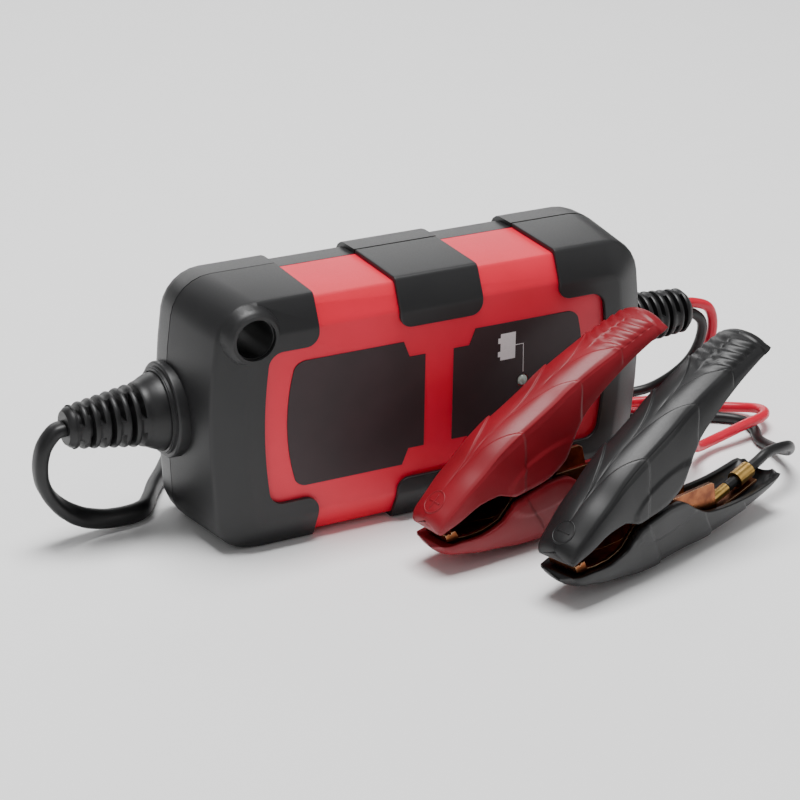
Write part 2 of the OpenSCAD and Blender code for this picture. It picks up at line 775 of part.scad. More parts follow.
// Outer points across one station, right rim to left rim
function across(s, d) =
  let (
    x = s[0],
    f = [0, 0, 0.05, 0.35, 0.8, 1],
    g = [0, 0.5, 0.85, 1, 1, 1],
    half = [for (i = [0:5]) let (
      px = x - s[3] * f[i],
      zs = lookup(px, spine) + petal_t * s[1] * g[i] + (i >= 3 ? rib_t * s[2] : 0) - d,
      zr = lookup(px, rim),
      wr = lookup(px, ridge_w) - d * 0.75 + (i < 3 ? 0 : 0),
      wm = lookup(px, rim_w) - d + petal_t * 0.35 * s[1],
      ztop = zs - 1.5)
      i == 0 ? [px, wm, zr]
      : i == 1 ? [px, wm * 0.62 + wr * 0.38 + 0.25, zr + (ztop - zr) * 0.45]
      : i == 2 ? [px, wm * 0.18 + wr * 0.82 + 0.2, zr + (ztop - zr) * 0.86]
      : i == 3 ? [px, wr, ztop]
      : i == 4 ? [px, wr * 0.52, zs - 0.4]
      : [px, 0, zs]])
  concat(half, [for (i = [4:-1:0]) [half[i][0], -half[i][1], half[i][2]]]);

// Inner points: offset by the wall; the nose is closed up to x = clip_wall + 1
function inner(s) =
  s[0] < 2.5
  ? let (o = across(s, 0)) [for (p = o) [p[0], p[1] * 0.86,
      o[0][2] + 0.25 * (1 - pow(p[1] / o[0][1], 2)) + 0.02]]
  : across([s[0], s[1] * 0.6, 0, s[3]], clip_wall);

module cover(ribs, open_end) {
  st = concat(stations_plain, rib_stations(ribs), stations_end);
  skin([for (s = st) let (o = across(s, 0), n = inner(s))
    concat(n, [for (i = [len(o) - 1:-1:0]) o[i]])]);
  if (!open_end)
    translate([clip_len - 2.2, 0, 0]) end_wall();
}

// Closing wall of a handle's end
module end_wall() {
  z0 = lookup(clip_len - 2, rim) + 0.3;
  z1 = lookup(clip_len - 1, spine) - clip_wall - 0.3;
  translate([0, -lookup(clip_len, ridge_w) + 0.6, z0])
    cube([1.2, 2 * lookup(clip_len, ridge_w) - 1.2, z1 - z0]);
}

// Side view of a jaw: tooth, eye, pivot ear, channel in the handle
jaw_out = clip_wall + 2.2;
jaw_x = [53, 46, 40, 33, 27, 21, 15, 10, 5];
function jaw_back(x) = lookup(x, spine) - jaw_out - 0.8 * max(0, 1 - (x - 5) / 5);
module jaw2d(t) {
  polygon(concat(
    [[2.2, 0.15], [3.2, 0.15], [3.6, 0.7], [4.0, 0.15], [5.0, 0.15], [5.6, 2.5],
     [8, 3.3], [12, 4.0], [17, 3.6], [20, 1.9], [22.5, 0.5], [pivot_x - 2, 0.4],
     [pivot_x + 2, 1.6], [52, 6.5], [53, 7.5]],
    [for (x = jaw_x) [x, jaw_back(x) - t]],
    [[2.2, 1.9 - t]]));
}
// Plan of a jaw of width w, inset by d: it narrows to the nose
module jaw_plan(w, d) {
  h = w / 2 - d;
  linear_extrude(80, center = true)
    polygon([[0, -h + 1.5], [15, -h], [60, -h], [60, h], [15, h], [0, h - 1.5]]);
}
module jaw(w) {
  difference() {
    intersection() {
      rotate([90, 0, 0]) linear_extrude(w, center = true) jaw2d(0);
      jaw_plan(w, 0);
    }
    intersection() {
      translate([jaw_t, 0, 0]) rotate([90, 0, 0]) linear_extrude(w, center = true)
        polygon(concat(
          [[2.2, -9], [54, -9], [54, jaw_back(53) - jaw_t]],
          [for (x = jaw_x) [x - jaw_t, jaw_back(x) - jaw_t]],
          [[2.2, 1.9 - jaw_t]]));
      jaw_plan(w, jaw_t);
    }
  }
  for (s = [-1, 1]) translate([pivot_x, s * (w / 2 - jaw_t / 2), 0])
    rotate([90, 0, 0]) cylinder(r = 4.2, h = jaw_t, center = true);
}
jaw_in_w = jaw_w - 2 * jaw_t - 0.4;
module pivot_bore(r) {
  translate([pivot_x, 0, 0]) rotate([90, 0, 0]) cylinder(r = r, h = 40, center = true);
}

module upper_jaw() color("#9a5b3a") {
  difference() {
    jaw(jaw_in_w);
    pivot_bore(pin_d / 2 + pin_gap);
  }
}

strip_w = 4.4;
wire_z = -17.5;
// Underside of the crimp tongue, just clear of the cover
function tongue_z(x) = -(lookup(x, spine) - clip_wall - 0.4 - seat);
module lower_jaw() color("#9a5b3a") {
  difference() {
    mirror([0, 0, 1]) jaw(jaw_w);
    pivot_bore(pin_d / 2);
  }
  // Tongue that carries the crimps
  rotate([90, 0, 0]) linear_extrude(strip_w, center = true) polygon([
    [51, -jaw_back(51)], [53, -jaw_back(53)], [56, tongue_z(56)], [60, tongue_z(60)],
    [66, tongue_z(66)], [73.5, tongue_z(73.5)], [73.5, tongue_z(73.5) + 0.7],
    [66, tongue_z(66) + 0.7], [60, tongue_z(60) + 0.7], [56, tongue_z(56) + 0.7],
    [53, -jaw_back(53) + jaw_t], [51, -jaw_back(51) + jaw_t]]);
}

module pivot_pin() color("silver") {
  translate([pivot_x, 0, 0]) rotate([90, 0, 0]) {
    cylinder(r = pin_d / 2, h = jaw_w, center = true);
    for (s = [-1, 1]) translate([0, 0, s * (jaw_w / 2 + 0.25)])
      cylinder(r = pin_d / 2 + 0.9, h = 0.5, center = true);
  }
}

// Torsion spring: leg, turns round the pin, leg, as one wire
spring_r = pin_d / 2 + 0.4 + wire_d / 2;
spring_p = wire_d + 0.5;
leg_x = 14;
leg_z = jaw_back(pivot_x + leg_x) - jaw_t - wire_d / 2 - 0.3;
leg_len = norm([leg_x, leg_z]);
leg_a = atan2(leg_z, leg_x) + acos(spring_r / leg_len);
spring_sweep = 360 * turns + 2 * leg_a;
spring_turns = spring_sweep / 360;
module spring() color("#8f9296") {
  n = round(8 * spring_turns);
  y0 = -spring_p * spring_turns / 2;
  coil = [for (k = [0:n]) let (a = leg_a - spring_sweep * k / n)
    [pivot_x + spring_r * cos(a), y0 + spring_p * spring_turns * k / n, spring_r * sin(a)]];
  q = concat(
    [[pivot_x + leg_x, y0, leg_z]],
    coil,
    [[pivot_x + leg_x, -y0, -leg_z]]);
  tube(q, wire_d, wire_d, [[0, 1, 0.001]], 6);
}

// Two crimped barrels: on the strands and on the insulation
module crimps() color("#c79a4a") {
  translate([57.5, 0, wire_z]) rotate([0, 90, 0]) cylinder(r = 1.5, h = 6);
  translate([67.5, 0, wire_z]) rotate([0, 90, 0]) difference() {
    cylinder(r = 2.2, h = 5.5);
    translate([0, 0, -1]) cylinder(r = lead_d / 2 + 0.05, h = 9);
  }
}

module clip_upper_cover(c, col) color(col) {
  clip_at(c) cover(1, false);
}
module clip_lower_cover(c, col) color(col) {
  clip_at(c) mirror([0, 0, 1]) cover(0, true);
}

// ---------- low-voltage leads ----------

lead_x = hx + lboot_len;
lead_gap = lead_d / 2 + 0.1;
function lead_end(c) = [
  clip_pt(c, [82, 0, wire_z]), clip_pt(c, [77, 0, wire_z]), clip_pt(c, [72, 0, wire_z]),
  clip_pt(c, [63.5, 0, wire_z])];
red_route = concat([
  [lead_x, boot_y, boot_z + lead_gap],
  [lead_x + 3, boot_y, boot_z + lead_gap],
  [98, 7.6, 30.5],
  [100.5, 8.6, 24],
  [100, 10.5, 16],
  [97, 12.5, 8],
  [91, 14.8, 3],
  [82, 17.5, 1.5],
  [66, 26.5, 1.5],
  [48, 33.5, 1.5],
  [22, 36, 1.5],
  [13, 29.5, 1.5],
  [22, 23.2, 1.5],
  [50, 22.7, 1.5],
  [66, 19.6, 1.5],
  [80, 10.5, 1.5],
  [96, 6.6, 1.5],
  [105, 0.5, 2.2],
  [108, -6, 3.6],
  [104.5, -12, 4.7],
  [96, -14.8, 4.6],
  [84, -17.2, 3.4],
  [76, -21.2, 4.8],
  [71, -26.6, 11.2]
], lead_end(red_at));
black_route = concat([
  [lead_x, boot_y, boot_z - lead_gap],
  [lead_x + 3, boot_y, boot_z - lead_gap],
  [96.2, 7.8, 26.5],
  [97, 9.6, 20],
  [96, 13, 13],
  [93, 18, 6.5],
  [87.5, 22, 2.4],
  [78, 25.6, 1.5],
  [64, 31, 1.5],
  [48, 37.2, 1.5],
  [21, 39.8, 1.5],
  [8.5, 30, 1.5],
  [21, 19.7, 1.5],
  [50, 19.5, 1.5],
  [64, 16.3, 1.5],
  [78, 6.6, 1.5],
  [92, 1.6, 1.5],
  [101, -5, 1.5],
  [101.5, -12, 1.5],
  [98.4, -19, 1.5],
  [97.6, -27, 2.6],
  [95, -36, 6],
  [89, -43.4, 11.6]
], lead_end(black_at));
module lead(route) {
  tube(curve(route, 2), lead_d, lead_d, [[0.02, 0.05, 1]], 8);
}
module red_lead() color("#d8284a") { lead(red_route); }
module black_lead() color("#2a2a2c") { lead(black_route); }

module red_upper_cover() { clip_upper_cover(red_at, "#a03440"); }
module red_lower_cover() { clip_lower_cover(red_at, "#a03440"); }
module red_upper_jaw() { clip_at(red_at) upper_jaw(); }
module red_lower_jaw() { clip_at(red_at) lower_jaw(); }
module red_pivot_pin() { clip_at(red_at) pivot_pin(); }
module red_spring() { clip_at(red_at) spring(); }
module red_crimps() { clip_at(red_at) crimps(); }
module black_upper_cover() { clip_upper_cover(black_at, "#3a3a3b"); }
module black_lower_cover() { clip_lower_cover(black_at, "#3a3a3b"); }
module black_upper_jaw() { clip_at(black_at) upper_jaw(); }
module black_lower_jaw() { clip_at(black_at) lower_jaw(); }
module black_pivot_pin() { clip_at(black_at) pivot_pin(); }
module black_spring() { clip_at(black_at) spring(); }
module black_crimps() { clip_at(black_at) crimps(); }

front_case();
rear_case();
left_bumper();
right_bumper();
upper_band();
lower_band();
hanging_sleeve();
left_label_panel();
right_label_panel();
indicator_lens();
mains_collar();
mains_boot();
lead_boot();
case_screws();
circuit_board();
transformer_core();
transformer_winding();
capacitors();
heat_sink();
mains_cable();
mains_coil();
mains_tail();
plug_body();
plug_pins();
red_lead();
black_lead();
red_upper_cover();
red_lower_cover();
red_upper_jaw();
red_lower_jaw();
red_pivot_pin();
red_spring();
red_crimps();
black_upper_cover();
black_lower_cover();
black_upper_jaw();
black_lower_jaw();
black_pivot_pin();
black_spring();
black_crimps();
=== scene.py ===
"""Looks of a compact car battery charger: moulded housing with corner bumpers,
flat mains lead with its plug, and two low-voltage leads that end in sprung
crocodile clips. Everything is in metres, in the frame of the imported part."""

import math

import bmesh
import bpy
from mathutils import Matrix, Vector


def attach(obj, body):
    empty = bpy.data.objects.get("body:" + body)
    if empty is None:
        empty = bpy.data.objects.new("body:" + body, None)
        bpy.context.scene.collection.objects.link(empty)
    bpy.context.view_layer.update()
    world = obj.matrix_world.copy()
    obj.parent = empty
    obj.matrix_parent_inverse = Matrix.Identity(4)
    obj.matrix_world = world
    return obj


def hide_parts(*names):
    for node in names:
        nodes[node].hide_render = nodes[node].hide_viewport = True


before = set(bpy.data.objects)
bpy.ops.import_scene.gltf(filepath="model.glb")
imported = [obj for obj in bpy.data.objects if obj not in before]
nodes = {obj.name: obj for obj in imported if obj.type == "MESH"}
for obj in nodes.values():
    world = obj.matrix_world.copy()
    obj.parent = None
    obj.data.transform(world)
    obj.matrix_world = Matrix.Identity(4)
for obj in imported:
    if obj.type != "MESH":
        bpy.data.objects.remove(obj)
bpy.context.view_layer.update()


# ---- Camera ---------------------------------------------------------------
# A product shot from standing height in front of the charger and a little to
# its left, with a long lens, so that the two long edges stay nearly parallel.

MM = 0.001
CAMERA_TARGET = Vector((-3.321, -2.75, 26.341)) * MM
CAMERA_DISTANCE = 0.638708
CAMERA_TURN = math.radians(-28.604)
CAMERA_TILT = math.radians(23.426)
CAMERA_ROLL = math.radians(0.95)
CAMERA_LENS = 113.45
CAMERA_SENSOR = 36.0


def aim(obj, forward, roll=0.0):
    """Turns obj so that its -Z looks along forward, with its top up."""
    forward = forward.normalized()
    right = forward.cross(Vector((0, 0, 1))).normalized()
    up = right.cross(forward)
    right, up = (
        right * math.cos(roll) + up * math.sin(roll),
        up * math.cos(roll) - right * math.sin(roll),
    )
    turned = Matrix((right, up, -forward)).transposed().to_4x4()
    obj.matrix_world = Matrix.Translation(obj.location) @ turned


camera_data = bpy.data.cameras.new("product_camera")
camera_data.lens = CAMERA_LENS
camera_data.sensor_width = CAMERA_SENSOR
camera_data.clip_start = 0.02
camera = bpy.data.objects.new("product_camera", camera_data)
bpy.context.scene.collection.objects.link(camera)
looking = Vector((
    -math.sin(CAMERA_TURN) * math.cos(CAMERA_TILT),
    math.cos(CAMERA_TURN) * math.cos(CAMERA_TILT),
    -math.sin(CAMERA_TILT),
))
camera.location = CAMERA_TARGET - looking * CAMERA_DISTANCE
aim(camera, looking, CAMERA_ROLL)
bpy.context.scene.camera = camera


# ---- Mains lead -----------------------------------------------------------
# Flat two-core mains flex with a black PVC sheath, extruded in one length. It
# leaves the strain relief on the left, turns under itself and is put away in
# a round coil behind the housing, with its plug beside the coil.

FLEX_WIDTH = 5.2 * MM
FLEX_THICK = 3.4 * MM
COIL_CENTRE = Vector((11.5, 98.0)) * MM
COIL_RADIUS = 25.5 * MM
COIL_LOOPS = 3
COIL_GAP = 0.5 * MM
CURVE_STEPS = 8


def smooth_through(points, steps):
    """Points on a smooth curve through given points."""
    found = []
    for k in range(len(points) - 1):
        a, b = points[max(k - 1, 0)], points[k]
        c, d = points[k + 1], points[min(k + 2, len(points) - 1)]
        for j in range(steps):
            t = j / steps
            found.append((
                b * 2 + (c - a) * t + (a * 2 - b * 5 + c * 4 - d) * t * t
                + (b * 3 - a - c * 3 + d) * t ** 3) * 0.5)
    return found + [points[-1]]


# Where the flex runs between the strain relief and the coil; the last number
# is how far its wide side has turned from lying across to standing on edge
MAINS_ROUTE = [
    (-89.85, 7.25, 31.6, 0), (-92.4, 7.25, 31.0, 0), (-95.2, 7.35, 27.4, 0),
    (-96.2, 7.6, 22.2, 3), (-95.2, 8.3, 16.6, 12), (-91.6, 9.4, 10.8, 30),
    (-86, 10.4, 6, 60), (-79.6, 11.2, 3.4, 82), (-73, 11.6, 2.7, 90),
    (-68, 13, 2.7, 90), (-64.6, 17, 2.7, 90), (-60.5, 23.5, 2.7, 90),
    (-54.5, 31.5, 2.7, 90), (-46.5, 43.5, 2.7, 90), (-38, 58, 2.7, 90),
    (-28.5, 76, 2.7, 90), (-19.85, 91, 2.6, 90), (-19.85, 94.6, 2.6, 90),
]
route = smooth_through([Vector(p) for p in MAINS_ROUTE], CURVE_STEPS)
flex_path = [Vector(p[:3]) * MM for p in route]
flex_wide = [
    Vector((0, math.cos(math.radians(p[3])), math.sin(math.radians(p[3]))))
    for p in route]

# The coil: one layer winds in, the next one winds out on top of it, and the
# flex climbs from one to the other over half a loop
CLIMB_LOOPS = 0.5
coil_step = FLEX_THICK + COIL_GAP
coil_outer = COIL_RADIUS + coil_step * COIL_LOOPS / 2
STEPS_A_LOOP = 60
for k in range(int((2 * COIL_LOOPS - 0.5) * STEPS_A_LOOP) + 1):
    loops = k / STEPS_A_LOOP
    radius = coil_outer - coil_step * min(loops, 2 * COIL_LOOPS - loops)
    climb = max(0, min(1, (loops - COIL_LOOPS) / CLIMB_LOOPS + 0.5))
    angle = 2 * math.pi * loops
    flex_path.append(Vector((
        COIL_CENTRE.x - radius * math.cos(angle),
        COIL_CENTRE.y + radius * math.sin(angle),
        FLEX_WIDTH / 2 + climb * (FLEX_WIDTH + COIL_GAP))))
coil_exit = flex_path[-1].copy()

# The last stretch drops from the coil's upper layer into the plug
PLUG_HEIGHT = 13.7 * MM
PLUG_BESIDE = 12 * MM
PLUG_BEFORE = 19 * MM
straight_end = Vector((0, 3.6 * MM, 0))
tail_start = coil_exit - Vector((0, FLEX_THICK, 0))
plug_neck_at = Vector((
    tail_start.x + PLUG_BESIDE, tail_start.y - PLUG_BEFORE, PLUG_HEIGHT / 2))
flex_path += smooth_through([
    tail_start,
    tail_start - straight_end,
    (tail_start + plug_neck_at) / 2,
    plug_neck_at + straight_end,
    plug_neck_at], CURVE_STEPS)
flex_wide += [Vector((0, 0, 1))] * (len(flex_path) - len(flex_wide))


def place_mesh(name, vertices, faces, body, smooth=True):
    """A new mesh piece that moves with one body of the part."""
    mesh = bpy.data.meshes.new(name)
    mesh.from_pydata([tuple(v) for v in vertices], [], faces)
    mesh.update()
    if smooth:
        mesh.polygons.foreach_set("use_smooth", [True] * len(mesh.polygons))
    obj = bpy.data.objects.new(name, mesh)
    bpy.context.scene.collection.objects.link(obj)
    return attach(obj, body)


def tube_faces(rings, sides):
    """Quads between rings of points, with a cap on both ends."""
    faces = [list(range(sides))[::-1]]
    for k in range(rings - 1):
        for i in range(sides):
            j = (i + 1) % sides
            faces.append([k * sides + i, k * sides + j,
                          (k + 1) * sides + j, (k + 1) * sides + i])
    faces.append([(rings - 1) * sides + i for i in range(sides)])
    return faces


# Section of the flex: two half rounds joined by flat sides
SECTION_STEPS = 7
half_flat = (FLEX_WIDTH - FLEX_THICK) / 2
section = []
for side in (0, 1):
    for k in range(SECTION_STEPS):
        turn = math.pi * (side + k / (SECTION_STEPS - 1)) - math.pi / 2
        section.append((
            (half_flat if side == 0 else -half_flat)
            + FLEX_THICK / 2 * math.cos(turn),
            FLEX_THICK / 2 * math.sin(turn)))
flex_points = []
for k, at in enumerate(flex_path):
    along = (flex_path[min(k + 1, len(flex_path) - 1)]
             - flex_path[max(k - 1, 0)]).normalized()
    wide = (flex_wide[k] - along * flex_wide[k].dot(along)).normalized()
    thick = along.cross(wide)
    flex_points += [at + wide * a + thick * b for a, b in section]
mains_lead = place_mesh(
    "mains_lead", flex_points,
    tube_faces(len(flex_path), len(section)), "charger")
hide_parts("mains_cable", "mains_coil", "mains_tail")


def srgb(code):
    """A hex colour as the eye reads it, in linear light."""
    parts = [int(code[k:k + 2], 16) / 255 for k in (1, 3, 5)]
    return [p / 12.92 if p <= 0.04045 else ((p + 0.055) / 1.055) ** 2.4
            for p in parts] + [1.0]


def add(tree, kind, inputs=None, **settings):
    """One node with its settings; an input is a value or another's output."""
    node = tree.nodes.new("ShaderNode" + kind)
    for name, value in settings.items():
        setattr(node, name, value)
    for name, value in (inputs or {}).items():
        if isinstance(value, bpy.types.NodeSocket):
            tree.links.new(value, node.inputs[name])
        else:
            node.inputs[name].default_value = value
    return node


def new_material(name):
    """An empty material with its shader, and the coordinates of the piece."""
    material = bpy.data.materials.new(name)
    material.use_nodes = True
    tree = material.node_tree
    shader = tree.nodes["Principled BSDF"]
    place = add(tree, "TexCoord").outputs["Object"]
    return material, tree, shader, place


def dress(obj, material):
    """Gives a piece one material all over."""
    obj.data.materials.clear()
    obj.data.materials.append(material)


# Black flexible PVC: a soft satin sheath, with the faint long waves of the
# extruder (about 6 mm) and a fine grain of 0.3 mm that breaks its shine
black_pvc, tree, shader, place = new_material("black_flexible_pvc")
grain = add(tree, "TexNoise", {
    "Vector": place, "Scale": 1 / (0.3 * MM), "Detail": 3.0})
waves = add(tree, "TexNoise", {"Vector": place, "Scale": 1 / (6 * MM), "Detail": 2.0})
tone = add(tree, "ValToRGB", {"Fac": waves.outputs["Fac"]})
tone.color_ramp.elements[0].color = srgb("#131314")
tone.color_ramp.elements[0].position = 0.35
tone.color_ramp.elements[1].color = srgb("#1A1A1B")
tone.color_ramp.elements[1].position = 0.65
tree.links.new(tone.outputs["Color"], shader.inputs["Base Color"])
shine = add(tree, "MapRange", {
    "Value": grain.outputs["Fac"], "To Min": 0.34, "To Max": 0.5})
tree.links.new(shine.outputs["Result"], shader.inputs["Roughness"])
bump = add(tree, "Bump", {
    "Height": grain.outputs["Fac"], "Strength": 0.25, "Distance": 0.02 * MM})
tree.links.new(bump.outputs["Normal"], shader.inputs["Normal"])
shader.inputs["IOR"].default_value = 1.53
shader.inputs["Specular IOR Level"].default_value = 0.35
dress(mains_lead, black_pvc)


# ---- Clips: covers --------------------------------------------------------
# Each half of a clip has a hollow cover of moulded PVC with overlapping
# petals on its back, a lobe beside the pivot, and five grip ribs on the upper
# handle. The lower cover is open at its end, where the wire goes in.

# Nose of each clip, its turn about Z and its rise from the nose to the tail
RED_CLIP = ((-17.2, -43.35, 9.6), 9.5, 16.0)
BLACK_CLIP = ((0.8, -72.95, 10.5), 18.2, 13.8)


def clip_frame(clip):
    """From a clip's own millimetres (nose at 0, tail along +X) to the part."""
    nose, turn, rise = clip
    return (Matrix.Translation(Vector(nose) * MM)
            @ Matrix.Rotation(math.radians(turn), 4, "Z")
            @ Matrix.Rotation(-math.radians(rise), 4, "Y")
            @ Matrix.Scale(MM, 4))


COVER_LENGTH = 77.5
COVER_WALL = 1.4

# Side view and half widths along the clip, in millimetres from the nose
SPINE = ((0, 4.6), (1.5, 6.1), (4.5, 7.6), (10, 10.3), (15, 12.2), (21, 14.8),
         (27, 16.5), (33, 17.6), (40, 19.0), (44.6, 20.2), (54, 21.6),
         (61, 22.2), (68, 22.8), (73, 23), (76.3, 22.3), (77.5, 21.4))
RIM = ((0, 1.6), (1.5, 2.2), (5.8, 3.1), (8, 3.7), (12, 4.4), (17, 4.0),
       (20, 2.3), (22.5, 0.9), (31, 0.6), (34.5, 1.2), (37.8, 2.4),
       (41.8, 6.6), (47, 11.2), (53, 13.8), (59, 15.8), (66, 17.6),
       (75, 18.9), (77.5, 19.1))
BACK_HALF = ((0, 5.0), (1.5, 5.6), (5, 5.9), (12, 6.3), (60, 6.3), (74, 5.9),
             (77.5, 5.3))
RIM_HALF = ((0, 5.4), (2, 5.98), (8, 6.9), (22, 7.6), (32, 8.4), (45, 8.2),
            (76, 7.3), (77.5, 6.8))
# The arc over the lobe beside the pivot
LOBE = ((19.5, 1.5), (22, 4.6), (25, 6.4), (30, 7.7), (35, 8.1), (39, 7.9),
        (43, 7.2))


def along_table(table, x):
    """A smooth curve through a table's points, read at x."""
    last = len(table) - 1
    k = max(0, min(last - 1, sum(1 for p in table[1:-1] if p[0] <= x)))

    def slope(i):
        if i in (0, last):
            a, b = (table[0], table[1]) if i == 0 else (table[-2], table[-1])
            return (b[1] - a[1]) / (b[0] - a[0])
        a, b, c = table[i - 1], table[i], table[i + 1]
        before = (b[1] - a[1]) / (b[0] - a[0])
        after = (c[1] - b[1]) / (c[0] - b[0])
        return 0 if before * after <= 0 else 2 * before * after / (before + after)

    (x0, y0), (x1, y1) = table[k], table[k + 1]
    span = x1 - x0
    t = max(0.0, min(1.0, (x - x0) / span))
    return (y0 * (1 + 2 * t) * (1 - t) ** 2 + span * slope(k) * t * (1 - t) ** 2
            + y1 * t * t * (3 - 2 * t) - span * slope(k + 1) * t * t * (1 - t))


def ease(t):
    """From 0 to 1 with a soft start and a soft end."""
    t = max(0.0, min(1.0, t))
    return t * t * (3 - 2 * t)


# A column is a place across the cover: 0 on the middle of the back, 1 on the
# ridge and 2 on the rim, with columns close together where the skin bends.
# Each petal ends on a line that runs from the middle of the back towards the
# tail, meets the ridge and turns down the side.
RIDGE_FIRST, RIDGE_LAST, SIDE_FIRST = 0.97, 1.05, 1.09
BACK_COLUMNS = [
    0, 0.02, 0.08, 0.16, 0.26, 0.37, 0.49, 0.61, 0.73, 0.84, 0.92, RIDGE_FIRST]
SIDE_COLUMNS = (
    [1.0, 1.02, RIDGE_LAST] + [SIDE_FIRST + 0.03 * k for k in range(30)] + [1.98, 2.0])
COLUMNS = BACK_COLUMNS + SIDE_COLUMNS
# Middle of the back, ridge and rim of each petal's end line; its step
PETAL_ENDS = (
    (7.5, 29.0, 25.0, 0.5), (26.5, 48.6, 45.5, 0.5), (45.5, 62.5, 61.0, 0.4))
PETAL_SWEEP = 0.42
PETAL_ROWS = (34, 36, 26, 60)
# Share of a petal's length that is left between its last row and its end
PETAL_GAP = 0.0025
# Rows close behind the nose, for its rounded edge
NOSE_ROWS = (0.0, 0.004, 0.012)
NOSE_ROUNDING = 0.7


def petal_end(k, column):
    """Where the end line of a petal crosses a column."""
    if k < 0:
        return 0.0
    if k == len(PETAL_ENDS):
        return COVER_LENGTH
    middle, ridge, rim, _ = PETAL_ENDS[k]
    if column < 1:
        return middle + (ridge - middle) * column ** PETAL_SWEEP
    return ridge + (rim - ridge) * ease(column - 1)


def cover_rows():
    """Each row as its petal and the share of the petal that lies before it."""
    rows = []
    for petal, count in enumerate(PETAL_ROWS):
        for j in range(count):
            rows.append((petal, j / (count - 1) * (1 - 2 * PETAL_GAP) + PETAL_GAP))
    rows[-1] = (len(PETAL_ROWS) - 1, 1.0)
    return [(0, share) for share in NOSE_ROWS] + rows[1:]


# The ridge lies below the middle of the back, and the sides bulge a little
RIDGE_DROP = 1.5
BACK_ROUNDNESS = 2.2
SIDE_BULGE = 0.3
# The slanted sides take less width at the ridge than the full wall
RIDGE_WALL_SHARE = 0.75


def skin_point(x, column, inset):
    """A point on the plain skin of a cover, inset by a wall."""
    back = along_table(SPINE, x) - inset
    rim = along_table(RIM, x)
    half_back = along_table(BACK_HALF, x) - inset * RIDGE_WALL_SHARE
    half_rim = along_table(RIM_HALF, x) - inset
    if column < 1:
        return half_back * column, back - RIDGE_DROP * column ** BACK_ROUNDNESS
    down = column - 1
    bulge = SIDE_BULGE * math.sin(math.pi * down)
    ridge = back - RIDGE_DROP
    return (half_back + (half_rim - half_back) * down + bulge,
            ridge + (rim - ridge) * down)


# A petal rises towards its end line by this power, and rounds over in the
# last part of its length. It stands at full height this far across the back,
# and this far down the side it has faded: partly on the first two petals.
PETAL_RISE = 1.6
PETAL_ROUND_FROM, PETAL_ROUND_LOSS = 0.965, 0.25
BACK_FADE, MIDDLE_FADE, MIDDLE_SHARE = 0.45, 0.1, 0.2
SIDE_FADE, SIDE_FADES_BY, FADING_PETALS = 0.9, 0.45, 2
# Height of the lobe and the width of its soft edge; the grip ribs, which bow
# towards the tail at the ridge and have a long and a short flank; and the
# smooth band at the handle's end
LOBE_HEIGHT, LOBE_EDGE = 0.4, 0.9
RIB_COUNT, RIB_START, RIB_PITCH, RIB_HEIGHT, RIB_BOW = 5, 58.6, 2.7, 0.5, 2.4
RIB_LONG_FLANK, RIB_SHORT_FLANK = 0.6, 0.16
RIB_FADE_FROM, RIB_FADE = 0.85, 0.3
BAND_START, BAND_EDGE, BAND_HEIGHT = 74.3, 0.5, 0.35


def relief(x, column, petal, share, ribs):
    """How far the moulded relief stands out of the plain skin."""
    height = 0.0
    if petal < len(PETAL_ENDS):
        step = PETAL_ENDS[petal][3]
        if column < 1:
            fade = (ease(column / BACK_FADE) * (1 - MIDDLE_SHARE)
                    + MIDDLE_SHARE * ease(column / MIDDLE_FADE))
        else:
            loss = SIDE_FADES_BY if petal < FADING_PETALS else 1.0
            fade = 1 - loss * ease((column - 1) / SIDE_FADE)
        over = ease((share - PETAL_ROUND_FROM) / (1 - PETAL_ROUND_FROM))
        swell = share ** PETAL_RISE * (1 - over * PETAL_ROUND_LOSS)
        height += step * swell * fade
    if column > 1 and LOBE[0][0] < x < LOBE[-1][0]:
        below_arc = along_table(LOBE, x) - skin_point(x, column, 0)[1]
        height += LOBE_HEIGHT * ease(below_arc / LOBE_EDGE + 0.5)
    if ribs:
        bowed = x - RIB_BOW * min(column, 1.0) ** 2
        phase = (bowed - RIB_START) / RIB_PITCH
        if 0 < phase < RIB_COUNT:
            part = phase % 1
            drop = ease((part - 1 + RIB_SHORT_FLANK) / RIB_SHORT_FLANK)
            tooth = ease(part / RIB_LONG_FLANK) * (1 - drop)
            height += RIB_HEIGHT * tooth * (
                1 - ease((column - RIB_FADE_FROM) / RIB_FADE))
        height += BAND_HEIGHT * ease((x - BAND_START) / BAND_EDGE)
    return height


# How far the ridge and the edge of the rim are rounded off
RIDGE_OFF_TOP, RIDGE_OFF_SIDE, RIM_OFF = 0.12, 0.08, 0.25
# Which way the relief stands out on the ridge, towards the side and upwards;
# down the side it loses half of its height at the rim
RIDGE_SIDEWAYS, RIDGE_UPWARDS = 0.6, 0.7
RIM_COLUMNS, RIM_LOSS = 0.1, 0.5
# At the nose's rounded edge the skin above this height sinks, and below it
# rises by a share
NOSE_MIDDLE, NOSE_LIFT = 1.0, 0.4
# The hollow begins behind the nose and is at its full width soon after. Its
# closed part lies flat, this wide and this far above the rim.
HOLLOW_START, HOLLOW_OPENS = 2.2, 2.5
CLOSED_WIDTH, CLOSED_ABOVE = 0.86, 0.25
# The wall that shuts the end of the upper handle: its two faces, from the
# cover's end, and how far it runs into the cover's wall
END_WALL = (2.4, 1.2)
END_WALL_OVERLAP = 0.1


